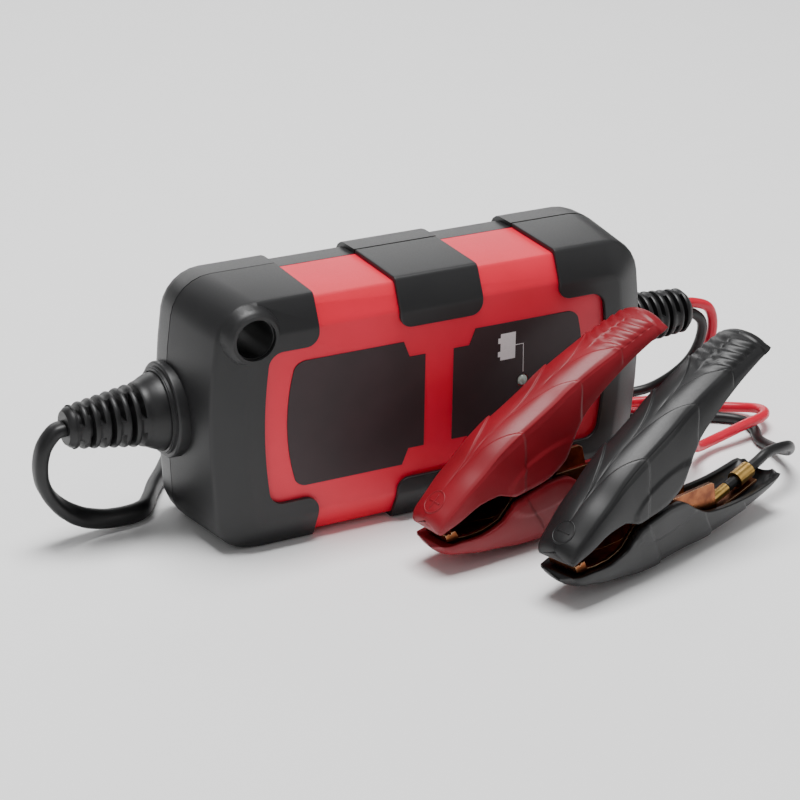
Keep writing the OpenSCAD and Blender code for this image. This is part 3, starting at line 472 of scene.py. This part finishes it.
def cover_mesh(upper):
    """Rings round the wall of a cover, from its nose to its handle's end."""
    rings = []
    for petal, share in cover_rows():
        outer, inner = [], []
        rim_x = petal_end(petal - 1, 2) + share * (
            petal_end(petal, 2) - petal_end(petal - 1, 2))
        for column in COLUMNS:
            start = petal_end(petal - 1, column)
            x = start + share * (petal_end(petal, column) - start)
            y, z = skin_point(x, column, 0)
            out = relief(x, column, petal, share, upper)
            if column < RIDGE_FIRST:
                z += out
            elif column < SIDE_FIRST:
                y, z = y + out * RIDGE_SIDEWAYS, z + out * RIDGE_UPWARDS
            else:
                at_rim = ease((column - 2 + RIM_COLUMNS) / RIM_COLUMNS)
                y += out * (1 - at_rim * RIM_LOSS)
            if RIDGE_FIRST <= column <= RIDGE_LAST:
                z -= RIDGE_OFF_TOP
                y -= RIDGE_OFF_SIDE
            if column == COLUMNS[-1]:
                y -= RIM_OFF
            nose = max(0.0, 1 - x / NOSE_ROUNDING)
            shrink = NOSE_ROUNDING * (1 - math.sqrt(max(0.0, 1 - nose * nose)))
            middle = along_table(RIM, x) + NOSE_MIDDLE
            y -= shrink
            z += shrink * NOSE_LIFT if z < middle else -shrink
            outer.append((x, y, z))
            y, z = skin_point(rim_x, column, COVER_WALL)
            closed = 1 - ease((rim_x - HOLLOW_START) / HOLLOW_OPENS)
            shut_y = skin_point(rim_x, 2, 0)[0] * CLOSED_WIDTH * min(1, column / 2)
            shut_z = along_table(RIM, rim_x) + CLOSED_ABOVE
            inner.append((
                rim_x, y + (shut_y - y) * closed, z + (shut_z - z) * closed))
        ring = [(x, -y, z) for x, y, z in reversed(outer)] + outer[1:]
        ring += list(reversed(inner)) + [(x, -y, z) for x, y, z in inner[1:]]
        rings.append(ring)
    flip = 1 if upper else -1
    points = [(x, y, z * flip) for ring in rings for x, y, z in ring]
    faces = tube_faces(len(rings), len(rings[0]))
    if upper:
        sections = []
        for before in END_WALL:
            x = COVER_LENGTH - before
            half = [skin_point(x, c, COVER_WALL - END_WALL_OVERLAP)
                    for c in COLUMNS[::3]]
            sections.append([(x, -y, z) for y, z in reversed(half)]
                            + [(x, y, z) for y, z in half[1:]])
        first = len(points)
        points += sections[0] + sections[1]
        faces += [[i + first for i in face] for face in tube_faces(2, len(sections[0]))]
    else:
        faces = [face[::-1] for face in faces]
    return points, faces


def place_cover(half, upper, clip, material):
    """One cover on its half of a clip; the upper one moves with the hinge."""
    points, faces = cover_mesh(upper)
    at = clip_frame(clip)
    body = half + "_upper_half" if upper else "charger"
    name = half + ("_upper_cover" if upper else "_lower_cover")
    obj = place_mesh(name + "_moulding", [at @ Vector(p) for p in points], faces, body)
    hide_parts(name)
    dress(obj, material)
    return obj


def cover_pvc(name, dark, light):
    """Moulded PVC: satin, with a 0.4 mm pebble and 10 mm clouds of tone where
    it cooled unevenly."""
    material, tree, shader, place = new_material(name)
    pebble = add(tree, "TexNoise", {
        "Vector": place, "Scale": 1 / (0.4 * MM), "Detail": 4.0, "Roughness": 0.6})
    cloud = add(tree, "TexNoise", {"Vector": place, "Scale": 1 / (10 * MM)})
    tone = add(tree, "ValToRGB", {"Fac": cloud.outputs["Fac"]})
    tone.color_ramp.elements[0].color = srgb(dark)
    tone.color_ramp.elements[0].position = 0.3
    tone.color_ramp.elements[1].color = srgb(light)
    tone.color_ramp.elements[1].position = 0.7
    tree.links.new(tone.outputs["Color"], shader.inputs["Base Color"])
    shine = add(tree, "MapRange", {
        "Value": pebble.outputs["Fac"], "To Min": 0.34, "To Max": 0.5})
    tree.links.new(shine.outputs["Result"], shader.inputs["Roughness"])
    bump = add(tree, "Bump", {
        "Height": pebble.outputs["Fac"], "Strength": 0.35, "Distance": 0.03 * MM})
    tree.links.new(bump.outputs["Normal"], shader.inputs["Normal"])
    shader.inputs["IOR"].default_value = 1.53
    shader.inputs["Specular IOR Level"].default_value = 0.35
    return material


red_cover = cover_pvc("moulded_red_pvc", "#7E101C", "#8A1622")
black_cover = cover_pvc("moulded_black_pvc", "#141415", "#1A1A1B")
for upper in (True, False):
    place_cover("red", upper, RED_CLIP, red_cover)
    place_cover("black", upper, BLACK_CLIP, black_cover)

# Moulded pole marks on the noses: a raised ring with a plus or a minus in it
MARK_CENTRE = 4.0
MARK_RADIUS = 2.7
MARK_RAISED = 0.22
MARK_ROOT = -0.4
MARK_WIDTH = 0.42
MARK_TOP_SHARE = 0.7
MARK_BAR = 1.8
RING_STEPS = 48
BAR_STEPS = 8


def pole_mark(half, clip, bars, material):
    """A ring and bars whose strokes follow the skin of the upper cover."""
    turns = [2 * math.pi * k / RING_STEPS for k in range(RING_STEPS + 1)]
    ring = [(MARK_CENTRE + MARK_RADIUS * math.cos(turn),
             MARK_RADIUS * math.sin(turn)) for turn in turns]
    steps = [k / BAR_STEPS for k in range(BAR_STEPS + 1)]
    strokes = [ring] + [
        [(a[0] + (b[0] - a[0]) * t, a[1] + (b[1] - a[1]) * t) for t in steps]
        for a, b in bars]
    points, faces = [], []
    for stroke in strokes:
        first = len(points)
        for k, (x, y) in enumerate(stroke):
            a, b = stroke[max(k - 1, 0)], stroke[min(k + 1, len(stroke) - 1)]
            along = Vector((b[0] - a[0], b[1] - a[1], 0)).normalized()
            aside = Vector((-along.y, along.x, 0)) * MARK_WIDTH / 2
            level = skin_point(x, abs(y) / along_table(BACK_HALF, x), 0)[1]
            for side, up in ((1, MARK_ROOT), (MARK_TOP_SHARE, MARK_RAISED),
                             (-MARK_TOP_SHARE, MARK_RAISED), (-1, MARK_ROOT)):
                points.append((x + side * aside.x, y + side * aside.y, level + up))
        faces += [[i + first for i in face] for face in tube_faces(len(stroke), 4)]
    at = clip_frame(clip)
    obj = place_mesh(half + "_pole_mark", [at @ Vector(p) for p in points], faces,
                     half + "_upper_half")
    dress(obj, material)


ACROSS = ((MARK_CENTRE, -MARK_BAR), (MARK_CENTRE, MARK_BAR))
ALONG = ((MARK_CENTRE - MARK_BAR, 0), (MARK_CENTRE + MARK_BAR, 0))
pole_mark("red", RED_CLIP, (ACROSS, ALONG), red_cover)
pole_mark("black", BLACK_CLIP, (ACROSS,), black_cover)


# ---- Low-voltage leads ----------------------------------------------------
# Two single-core 2.8 mm leads with PVC insulation, red for plus and black for
# minus. They come out of the boot on the right, one above the other, lie in
# loose bights on the bench and end in the crimps of the clips.

LEAD_DIAMETER = 2.8 * MM
LEAD_SIDES = 20

RED_ROUTE = [
    (89.25, 7.25, 33.1), (92.25, 7.25, 33.1), (98, 7.6, 30.5),
    (100.5, 8.6, 24), (100, 10.5, 16), (97, 12.5, 8), (91, 14.8, 3),
    (82, 17.5, 1.5), (66, 26.5, 1.5), (48, 33.5, 1.5), (22, 36, 1.5),
    (13, 29.5, 1.5), (22, 23.2, 1.5), (50, 22.7, 1.5), (66, 19.6, 1.5),
    (80, 10.5, 1.5), (96, 6.6, 1.5), (105, 0.5, 2.2), (107.8, -6, 3.6),
    (104.5, -12, 4.7), (96, -14.8, 4.6), (84, -17.2, 3.4),
    (76, -21.2, 4.8), (71, -26.6, 11.2),
]
BLACK_ROUTE = [
    (89.25, 7.25, 30.1), (92.25, 7.25, 30.1), (96.2, 7.8, 26.5),
    (97, 9.6, 20), (96, 13, 13), (93, 18, 6.5), (87.5, 22, 2.4),
    (78, 25.6, 1.5), (64, 31, 1.5), (48, 37.2, 1.5), (21, 39.8, 1.5),
    (8.5, 30, 1.5), (21, 19.7, 1.5), (50, 19.5, 1.5), (64, 16.3, 1.5),
    (78, 6.6, 1.5), (92, 1.6, 1.5), (101, -5, 1.5), (101.5, -12, 1.5),
    (98.4, -19, 1.5), (97.6, -27, 2.6), (95, -36, 6), (89, -43.4, 11.6),
]
# The last stretch lies straight in the lower handle, at this height and at
# these places along the clip
WIRE_Z = -17.5
IN_THE_HANDLE = (82, 77, 72, 63.5)


def lead(name, route, clip, half):
    """One round lead, from the boot to the crimps of its clip."""
    inside = [clip_frame(clip) @ Vector((x, 0, WIRE_Z)) for x in IN_THE_HANDLE]
    path = smooth_through([Vector(p) * MM for p in route] + inside, CURVE_STEPS)
    points = []
    for k, at in enumerate(path):
        along = (path[min(k + 1, len(path) - 1)] - path[max(k - 1, 0)]).normalized()
        across = along.cross(Vector((0.02, 0.05, 1))).normalized()
        over = along.cross(across)
        for i in range(LEAD_SIDES):
            turn = 2 * math.pi * i / LEAD_SIDES
            points.append(at + LEAD_DIAMETER / 2
                          * (across * math.cos(turn) + over * math.sin(turn)))
    obj = place_mesh(name, points, tube_faces(len(path), LEAD_SIDES), "charger")
    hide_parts(half + "_lead")
    return obj


red_lead = lead("red_wire", RED_ROUTE, RED_CLIP, "red")
black_lead = lead("black_wire", BLACK_ROUTE, BLACK_CLIP, "black")
dress(black_lead, black_pvc)

# Red PVC insulation: bright and rather glossy, with a 0.25 mm grain and the
# slight change of tone that an extruded sheath has along its length
red_pvc, tree, shader, place = new_material("red_pvc_insulation")
grain = add(tree, "TexNoise", {
    "Vector": place, "Scale": 1 / (0.25 * MM), "Detail": 2.0})
waves = add(tree, "TexNoise", {"Vector": place, "Scale": 1 / (9 * MM)})
tone = add(tree, "ValToRGB", {"Fac": waves.outputs["Fac"]})
tone.color_ramp.elements[0].color = srgb("#C4102C")
tone.color_ramp.elements[0].position = 0.3
tone.color_ramp.elements[1].color = srgb("#D01A38")
tone.color_ramp.elements[1].position = 0.7
tree.links.new(tone.outputs["Color"], shader.inputs["Base Color"])
shine = add(tree, "MapRange", {
    "Value": grain.outputs["Fac"], "To Min": 0.25, "To Max": 0.4})
tree.links.new(shine.outputs["Result"], shader.inputs["Roughness"])
bump = add(tree, "Bump", {
    "Height": grain.outputs["Fac"], "Strength": 0.2, "Distance": 0.015 * MM})
tree.links.new(bump.outputs["Normal"], shader.inputs["Normal"])
shader.inputs["IOR"].default_value = 1.53
shader.inputs["Specular IOR Level"].default_value = 0.35
dress(red_lead, red_pvc)


# ---- Bench and light ------------------------------------------------------
# A matt pale bench top that runs on past the view, under a large soft box
# overhead and one behind, with weak ones from the front left and the right.

bench = bpy.data.meshes.new("bench")
HALF_BENCH = 3.0
BENCH_BELOW = 0.05 * MM
bench.from_pydata(
    [(x * HALF_BENCH, y * HALF_BENCH, 0) for x, y in
     ((-1, -1), (1, -1), (1, 1), (-1, 1))], [], [(0, 1, 2, 3)])
bench_top = bpy.data.objects.new("bench", bench)
bench_top.location.z = -BENCH_BELOW
bpy.context.scene.collection.objects.link(bench_top)

# Matt white laminate: an even pale surface, slightly mottled at 30 mm
laminate, tree, shader, place = new_material("matt_white_laminate")
mottle = add(tree, "TexNoise", {"Vector": place, "Scale": 1 / (30 * MM)})
tone = add(tree, "ValToRGB", {"Fac": mottle.outputs["Fac"]})
tone.color_ramp.elements[0].color = srgb("#FAFAFA")
tone.color_ramp.elements[1].color = srgb("#FDFDFD")
tree.links.new(tone.outputs["Color"], shader.inputs["Base Color"])
shader.inputs["Roughness"].default_value = 0.7
dress(bench_top, laminate)


def soft_box(name, at, towards, size, power):
    """A rectangular soft box; places and sizes in metres, power in watts."""
    lamp = bpy.data.lights.new(name, "AREA")
    lamp.shape = "RECTANGLE"
    lamp.size, lamp.size_y = size
    lamp.energy = power
    obj = bpy.data.objects.new(name, lamp)
    bpy.context.scene.collection.objects.link(obj)
    obj.location = at
    aim(obj, Vector(towards) - Vector(at))


soft_box("overhead_box", (0, 0.05, 1.2), (0, 0, 0.03), (0.7, 0.5), 22)
soft_box("rear_box", (0.3, 1.3, 0.5), (0, 0, 0.05), (1.3, 0.5), 6)
soft_box("front_left_box", (-0.95, -0.75, 0.7), (0, 0, 0.03), (0.9, 0.9), 1.6)
soft_box("right_box", (0.9, -0.5, 0.6), (0.03, -0.02, 0.03), (0.5, 0.7), 1.0)

# A little white light from all round, as from the walls of a studio
world = bpy.data.worlds.new("studio_air")
world.use_nodes = True
walls = world.node_tree.nodes["Background"]
walls.inputs["Color"].default_value = (1, 1, 1, 1)
walls.inputs["Strength"].default_value = 0.22
bpy.context.scene.world = world


# ---- Housing: front shell -------------------------------------------------
# The deep front half of the housing, injection moulded in red ABS with a fine
# eroded texture. It shows between the bumpers; the label films are stuck on it.

# Corners closer than this are one, and faces flatter than this are one face
SAME_POINT = 0.002 * MM
SAME_FACE = math.radians(0.7)


def rounded_copy(node, radius_mm, body="charger", over=30, steps=2, moved=None):
    """A part's own solid with its sharp edges rounded, as a mould leaves them."""
    shape = bmesh.new()
    shape.from_mesh(nodes[node].data)
    if moved:
        for vertex in shape.verts:
            vertex.co = moved(vertex.co)
    bmesh.ops.remove_doubles(shape, verts=shape.verts, dist=SAME_POINT)
    bmesh.ops.dissolve_limit(
        shape, angle_limit=SAME_FACE, verts=shape.verts, edges=shape.edges)
    for face in shape.faces:
        face.smooth = True
    for edge in shape.edges:
        if len(edge.link_faces) == 2:
            edge.smooth = edge.calc_face_angle(0) < math.radians(over)
    mesh = bpy.data.meshes.new(node + "_piece")
    shape.to_mesh(mesh)
    shape.free()
    # The solid's own normals don't fit the rounded copy
    for name in ("custom_normal", "UVMap"):
        if name in mesh.attributes:
            mesh.attributes.remove(mesh.attributes[name])
    obj = bpy.data.objects.new(node + "_piece", mesh)
    bpy.context.scene.collection.objects.link(obj)
    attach(obj, body)
    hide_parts(node)
    rounding = obj.modifiers.new("rounding", "BEVEL")
    rounding.width = radius_mm * MM
    rounding.segments = steps
    rounding.limit_method = "ANGLE"
    rounding.angle_limit = math.radians(over)
    rounding.harden_normals = True
    rounding.use_clamp_overlap = True
    return obj


# The lower left corner of the housing is fuller than the others
CORNER_CENTRE = Vector((-51.25, 12.0)) * MM
CORNER_RADIUS = 12 * MM
CORNER_FULLNESS = 1.4 * MM


def full_corner(at):
    """Pushes a point of the lower left corner outwards, but not below the bench."""
    left, down = CORNER_CENTRE.x - at.x, CORNER_CENTRE.y - at.z
    if left <= 0 or down <= 0:
        return at
    reach = math.hypot(left, down)
    turn = math.atan2(down, left)
    push = CORNER_FULLNESS * math.sin(2 * turn) * min(1, reach / CORNER_RADIUS) ** 2
    return Vector((at.x - push * math.cos(turn), at.y,
                   max(min(at.z, 0), at.z - push * math.sin(turn))))


front_shell = rounded_copy("front_case", 0.25, moved=full_corner)

# Red ABS, spark-eroded mould: the pebble is about 0.5 mm across and catches
# the light on the top, where the surface looks paler
red_abs, tree, shader, place = new_material("eroded_red_abs")
pebble = add(tree, "TexNoise", {
    "Vector": place, "Scale": 1 / (0.55 * MM), "Detail": 4.0, "Roughness": 0.6})
cloud = add(tree, "TexNoise", {"Vector": place, "Scale": 1 / (14 * MM)})
tone = add(tree, "ValToRGB", {"Fac": cloud.outputs["Fac"]})
tone.color_ramp.elements[0].color = srgb("#E00A30")
tone.color_ramp.elements[0].position = 0.25
tone.color_ramp.elements[1].color = srgb("#E81038")
tone.color_ramp.elements[1].position = 0.75
tree.links.new(tone.outputs["Color"], shader.inputs["Base Color"])
shine = add(tree, "MapRange", {
    "Value": pebble.outputs["Fac"], "To Min": 0.38, "To Max": 0.56})
tree.links.new(shine.outputs["Result"], shader.inputs["Roughness"])
bump = add(tree, "Bump", {
    "Height": pebble.outputs["Fac"], "Strength": 0.55, "Distance": 0.05 * MM})
tree.links.new(bump.outputs["Normal"], shader.inputs["Normal"])
shader.inputs["IOR"].default_value = 1.54
dress(front_shell, red_abs)


# ---- Housing: rear shell, bumpers and bands -------------------------------
# The shallow rear half is black ABS. Bumpers over both ends and a band round
# the middle are black ABS too, moulded over the red shell and standing 1.2 mm
# proud of it, with small rounded edges.

rear_shell = rounded_copy("rear_case", 0.35, moved=full_corner)
bumpers = [rounded_copy(name, 0.4, steps=3, moved=full_corner) for name in (
    "left_bumper", "right_bumper", "upper_band", "lower_band")]

# Black ABS, finely eroded: dark grey, with a grain of 0.4 mm and a broad,
# soft shine on the tops
black_abs, tree, shader, place = new_material("satin_black_abs")
pebble = add(tree, "TexNoise", {
    "Vector": place, "Scale": 1 / (0.4 * MM), "Detail": 4.0, "Roughness": 0.6})
cloud = add(tree, "TexNoise", {"Vector": place, "Scale": 1 / (18 * MM)})
tone = add(tree, "ValToRGB", {"Fac": cloud.outputs["Fac"]})
tone.color_ramp.elements[0].color = srgb("#1D1D1E")
tone.color_ramp.elements[0].position = 0.3
tone.color_ramp.elements[1].color = srgb("#222223")
tone.color_ramp.elements[1].position = 0.7
tree.links.new(tone.outputs["Color"], shader.inputs["Base Color"])
shine = add(tree, "MapRange", {
    "Value": pebble.outputs["Fac"], "To Min": 0.34, "To Max": 0.5})
tree.links.new(shine.outputs["Result"], shader.inputs["Roughness"])
bump = add(tree, "Bump", {
    "Height": pebble.outputs["Fac"], "Strength": 0.4, "Distance": 0.03 * MM})
tree.links.new(bump.outputs["Normal"], shader.inputs["Normal"])
shader.inputs["IOR"].default_value = 1.54
shader.inputs["Specular IOR Level"].default_value = 0.35
for piece in [rear_shell] + bumpers:
    dress(piece, black_abs)


# ---- Hanging eye ----------------------------------------------------------
# A moulded sleeve right through the housing, so that the charger hangs on a
# hook. Its rim is rounded and stands level with the bumper round it.

sleeve = rounded_copy("hanging_sleeve", 0.2)
dress(sleeve, black_abs)


# ---- Printed panels -------------------------------------------------------
# Two screen-printed polyester films with clipped inner corners, one on each
# side of the red middle. Only a battery sign and its pointer line are printed.

panels = [rounded_copy(name, 0.06) for name in (
    "left_label_panel", "right_label_panel")]

# Dark satin polyester film: a flat even sheen with a very fine 0.2 mm screen
film, tree, shader, place = new_material("printed_polyester_film")
screen = add(tree, "TexNoise", {
    "Vector": place, "Scale": 1 / (0.2 * MM), "Detail": 2.0})
cloud = add(tree, "TexNoise", {"Vector": place, "Scale": 1 / (12 * MM)})
tone = add(tree, "ValToRGB", {"Fac": cloud.outputs["Fac"]})
tone.color_ramp.elements[0].color = srgb("#302426")
tone.color_ramp.elements[0].position = 0.3
tone.color_ramp.elements[1].color = srgb("#38292C")
tone.color_ramp.elements[1].position = 0.7
tree.links.new(tone.outputs["Color"], shader.inputs["Base Color"])
shine = add(tree, "MapRange", {
    "Value": screen.outputs["Fac"], "To Min": 0.4, "To Max": 0.52})
tree.links.new(shine.outputs["Result"], shader.inputs["Roughness"])
bump = add(tree, "Bump", {
    "Height": screen.outputs["Fac"], "Strength": 0.15, "Distance": 0.01 * MM})
tree.links.new(bump.outputs["Normal"], shader.inputs["Normal"])
shader.inputs["IOR"].default_value = 1.57
shader.inputs["Specular IOR Level"].default_value = 0.3
for piece in panels:
    dress(piece, film)

# Battery sign and its pointer line to the lamp, in white screen ink 0.04 mm
# thick. Each shape is an outline in x and z, in millimetres.
SIGN_SHAPES = {
    "battery_sign": ((17.4, 38.6), (21.7, 38.6), (21.7, 45.7), (17.4, 45.7),
                     (17.4, 44.6), (16.7, 44.6), (16.7, 43.2), (17.4, 43.2),
                     (17.4, 41.0), (16.7, 41.0), (16.7, 39.6), (17.4, 39.6)),
    "pointer_line": ((21.7, 42.05), (23.95, 42.05), (24.15, 34.4), (24.3, 34.4),
                     (24.1, 42.2), (21.7, 42.2)),
}
INK = 0.04 * MM
panel_face = min(v.co.y for v in nodes["right_label_panel"].data.vertices)
signs = []
for name, shape in SIGN_SHAPES.items():
    front = [(x * MM, panel_face - INK, z * MM) for x, z in shape]
    back = [(x * MM, panel_face + INK, z * MM) for x, z in shape]
    signs.append(place_mesh(
        name, front + back, tube_faces(2, len(shape)), "charger", smooth=False))

# White screen ink: matt and slightly uneven where the mesh of the screen was
ink, tree, shader, place = new_material("white_screen_ink")
screen = add(tree, "TexNoise", {
    "Vector": place, "Scale": 1 / (0.25 * MM), "Detail": 2.0})
tone = add(tree, "ValToRGB", {"Fac": screen.outputs["Fac"]})
tone.color_ramp.elements[0].color = srgb("#DCD8DA")
tone.color_ramp.elements[1].color = srgb("#F4F2F3")
tree.links.new(tone.outputs["Color"], shader.inputs["Base Color"])
shader.inputs["Roughness"].default_value = 0.55
shader.inputs["IOR"].default_value = 1.5
for piece in signs:
    dress(piece, ink)


# ---- Indicator ------------------------------------------------------------
# A 3 mm lens of clear polycarbonate in the right panel, over the charge lamp.

lens = rounded_copy("indicator_lens", 0.05)

# Clear polycarbonate: smooth and glossy with a faint green from the diode
clear, tree, shader, place = new_material("clear_polycarbonate")
cloud = add(tree, "TexNoise", {"Vector": place, "Scale": 1 / (2 * MM)})
tone = add(tree, "ValToRGB", {"Fac": cloud.outputs["Fac"]})
tone.color_ramp.elements[0].color = srgb("#DDEFE2")
tone.color_ramp.elements[1].color = srgb("#F2FAF4")
tree.links.new(tone.outputs["Color"], shader.inputs["Base Color"])
shader.inputs["Roughness"].default_value = 0.08
shader.inputs["IOR"].default_value = 1.585
shader.inputs["Transmission Weight"].default_value = 0.6
dress(lens, clear)


# ---- Collar and boots -----------------------------------------------------
# Strain reliefs of flexible black PVC, moulded on the cords and clamped
# between the shells. Staggered slots let them bend. A stepped collar of the
# housing stands round the mains boot.

collar = rounded_copy("mains_collar", 0.2)
dress(collar, black_abs)
for name in ("mains_boot", "lead_boot"):
    boot = rounded_copy(name, 0.15)
    dress(boot, black_pvc)


# ---- Clips: jaws, pins, springs and crimps --------------------------------
# Copper-plated steel jaws, folded from sheet, lie inside the covers. A torsion
# spring round the pivot pin keeps them shut, and two brass barrels are crimped
# on the wire, one on its bare strands and one on its insulation.

# Copper plating on stamped steel: brown where it has tarnished, in 3 mm patches
copper, tree, shader, place = new_material("copper_plated_steel")
stain = add(tree, "TexNoise", {
    "Vector": place, "Scale": 1 / (3 * MM), "Detail": 5.0})
tone = add(tree, "ValToRGB", {"Fac": stain.outputs["Fac"]})
tone.color_ramp.elements[0].color = srgb("#6E3A24")
tone.color_ramp.elements[0].position = 0.3
tone.color_ramp.elements[1].color = srgb("#A8683F")
tone.color_ramp.elements[1].position = 0.75
tree.links.new(tone.outputs["Color"], shader.inputs["Base Color"])
shader.inputs["Metallic"].default_value = 1.0
shine = add(tree, "MapRange", {
    "Value": stain.outputs["Fac"], "To Min": 0.38, "To Max": 0.22})
tree.links.new(shine.outputs["Result"], shader.inputs["Roughness"])


def bright_metal(name, grain_mm, detail, dark, light, roughness):
    """A clean metal whose tone varies a little in a grain of real size."""
    material, tree, shader, place = new_material(name)
    grain = add(tree, "TexNoise", {
        "Vector": place, "Scale": 1 / (grain_mm * MM), "Detail": detail})
    tone = add(tree, "ValToRGB", {"Fac": grain.outputs["Fac"]})
    tone.color_ramp.elements[0].color = srgb(dark)
    tone.color_ramp.elements[1].color = srgb(light)
    tree.links.new(tone.outputs["Color"], shader.inputs["Base Color"])
    shader.inputs["Metallic"].default_value = 1.0
    shader.inputs["Roughness"].default_value = roughness
    return material


# Zinc plating on drawn and headed steel: pale grey, with a 0.6 mm spangle
steel = bright_metal("zinc_plated_steel", 0.6, 4.0, "#A9ACB0", "#C9CBCE", 0.3)
# Plain brass tube: yellow, with the 1.5 mm marks of the crimping tool
brass = bright_metal("plain_brass", 1.5, 4.0, "#B08440", "#E0BC72", 0.28)
# Rounded edges of the jaws, paler than the copper as a painted highlight that stands in
# for a glint along them, and the bare strands in their own pale copper
edge = bright_metal("jaw_glint_and_strand_metal", 0.8, 3.0, "#D9A878", "#F3D9B4", 0.22)

# The upper jaw's channel is lifted behind TUCK_START, fully so 4 mm further on,
# to between the rim and the inner face of the cover
TUCK_START = 36
TUCK_LENGTH = 4
CHANNEL_END = 53
ABOVE_RIM = 0.8
BELOW_WALL = 1.0


def tucked_in(clip):
    """Lifts an upper jaw's channel into its cover, behind the pivot."""
    out = clip_frame(clip)
    back = out.inverted()

    def move(at):
        own = back @ at
        if own.x > TUCK_START:
            x = min(own.x, CHANNEL_END)
            floor = along_table(RIM, x) + ABOVE_RIM
            ceiling = along_table(SPINE, x) - COVER_WALL - BELOW_WALL
            share = ease((own.x - TUCK_START) / TUCK_LENGTH)
            own.z += (max(own.z, min(floor, ceiling)) - own.z) * share
        return out @ own
    return move


for half, clip in (("red", RED_CLIP), ("black", BLACK_CLIP)):
    for name, body, moved in (
            ("_upper_jaw", half + "_upper_half", tucked_in(clip)),
            ("_lower_jaw", "charger", None)):
        jaw = rounded_copy(half + name, 0.2, body, over=45, moved=moved)
        # The rounded edges take the second material, a paler metal: a painted glint
        # along the jaw edges
        jaw.modifiers["rounding"].material = 1
        dress(jaw, copper)
        jaw.data.materials.append(edge)
    dress(nodes[half + "_pivot_pin"], steel)
    dress(nodes[half + "_spring"], steel)
    dress(nodes[half + "_crimps"], brass)

# Bare copper strands stand out of the front crimp: one in the middle and the
# others round it. Each place along the clip has its spread.
STRAND_RADIUS = 0.2
STRANDS_ROUND = 8
STRAND_RING = 0.8
STRAND_SPREAD = ((58.0, 1.0), (56.6, 1.2), (55.2, 1.6), (54.4, 2.0))
STRAND_FLATTENED = 0.7
STRAND_SIDES = 6
for half, clip in (("red", RED_CLIP), ("black", BLACK_CLIP)):
    at = clip_frame(clip)
    points, faces = [], []
    for k in range(STRANDS_ROUND + 1):
        turn = 2 * math.pi * k / STRANDS_ROUND
        out = 0.0 if k == STRANDS_ROUND else STRAND_RING
        first = len(points)
        for x, spread in STRAND_SPREAD:
            y = out * spread * math.cos(turn)
            z = WIRE_Z + out * spread * math.sin(turn) * STRAND_FLATTENED
            for j in range(STRAND_SIDES):
                a = 2 * math.pi * j / STRAND_SIDES
                points.append((x, y + STRAND_RADIUS * math.cos(a),
                               z + STRAND_RADIUS * math.sin(a)))
        faces += [[i + first for i in face]
                  for face in tube_faces(len(STRAND_SPREAD), STRAND_SIDES)]
    strands = place_mesh(
        half + "_strands", [at @ Vector(p) for p in points], faces, "charger")
    dress(strands, edge)


# ---- Plug and case screws -------------------------------------------------
# A moulded plug of black PVC with two nickel-plated round pins, and four
# zinc-plated screws that hold the shells together from the back.

dress(nodes["plug_body"], black_pvc)
dress(nodes["case_screws"], steel)

# Nickel plating on brass pins: bright, with fine draw marks 0.15 mm apart
nickel, tree, shader, place = new_material("nickel_plated_brass")
marks = add(tree, "TexNoise", {
    "Vector": place, "Scale": 1 / (0.15 * MM), "Detail": 3.0})
tone = add(tree, "ValToRGB", {"Fac": marks.outputs["Fac"]})
tone.color_ramp.elements[0].color = srgb("#B9B6AE")
tone.color_ramp.elements[1].color = srgb("#D8D5CE")
tree.links.new(tone.outputs["Color"], shader.inputs["Base Color"])
shine = add(tree, "MapRange", {
    "Value": marks.outputs["Fac"], "To Min": 0.14, "To Max": 0.26})
tree.links.new(shine.outputs["Result"], shader.inputs["Roughness"])
shader.inputs["Metallic"].default_value = 1.0
dress(nodes["plug_pins"], nickel)


# ---- Inside of the housing ------------------------------------------------
# A circuit board, a laminated transformer with a taped winding, capacitors in
# shrink sleeves and an aluminium heat sink. The closed shells hide them.


def inner_material(name, dark, light, grain_mm, roughness, metallic=0.0, ior=1.5):
    """Two tones in a grain of real size, with a shine that follows it."""
    material, tree, shader, place = new_material(name)
    grain = add(tree, "TexNoise", {
        "Vector": place, "Scale": 1 / (grain_mm * MM), "Detail": 4.0})
    tone = add(tree, "ValToRGB", {"Fac": grain.outputs["Fac"]})
    tone.color_ramp.elements[0].color = srgb(dark)
    tone.color_ramp.elements[0].position = 0.35
    tone.color_ramp.elements[1].color = srgb(light)
    tone.color_ramp.elements[1].position = 0.65
    tree.links.new(tone.outputs["Color"], shader.inputs["Base Color"])
    shine = add(tree, "MapRange", {
        "Value": grain.outputs["Fac"], "To Min": roughness, "To Max": roughness + 0.15})
    tree.links.new(shine.outputs["Result"], shader.inputs["Roughness"])
    bump = add(tree, "Bump", {
        "Height": grain.outputs["Fac"], "Strength": 0.3, "Distance": 0.02 * MM})
    tree.links.new(bump.outputs["Normal"], shader.inputs["Normal"])
    shader.inputs["Metallic"].default_value = metallic
    if not metallic:
        shader.inputs["IOR"].default_value = ior
    return material


# Green solder mask over copper tracks, which show as paler patches of 2.5 mm
dress(nodes["circuit_board"], inner_material(
    "green_solder_mask", "#1E5A2C", "#2F7A3E", 2.5, 0.25))
# Varnished silicon steel laminations
dress(nodes["transformer_core"], inner_material(
    "varnished_silicon_steel", "#4E5053", "#74767A", 0.5, 0.4, metallic=1.0))
# Yellow polyester tape round the winding, with wrinkles of 4 mm
dress(nodes["transformer_winding"], inner_material(
    "yellow_polyester_tape", "#B98F1C", "#D2AA34", 4.0, 0.3, ior=1.57))
# Dark PVC shrink sleeve of the electrolytic capacitors
dress(nodes["capacitors"], inner_material(
    "pvc_shrink_sleeve", "#1A1D22", "#2A2E35", 1.5, 0.28, ior=1.53))
# Extruded aluminium with faint die lines
dress(nodes["heat_sink"], inner_material(
    "extruded_aluminium", "#8E9295", "#ABAFB2", 0.4, 0.32, metallic=1.0))
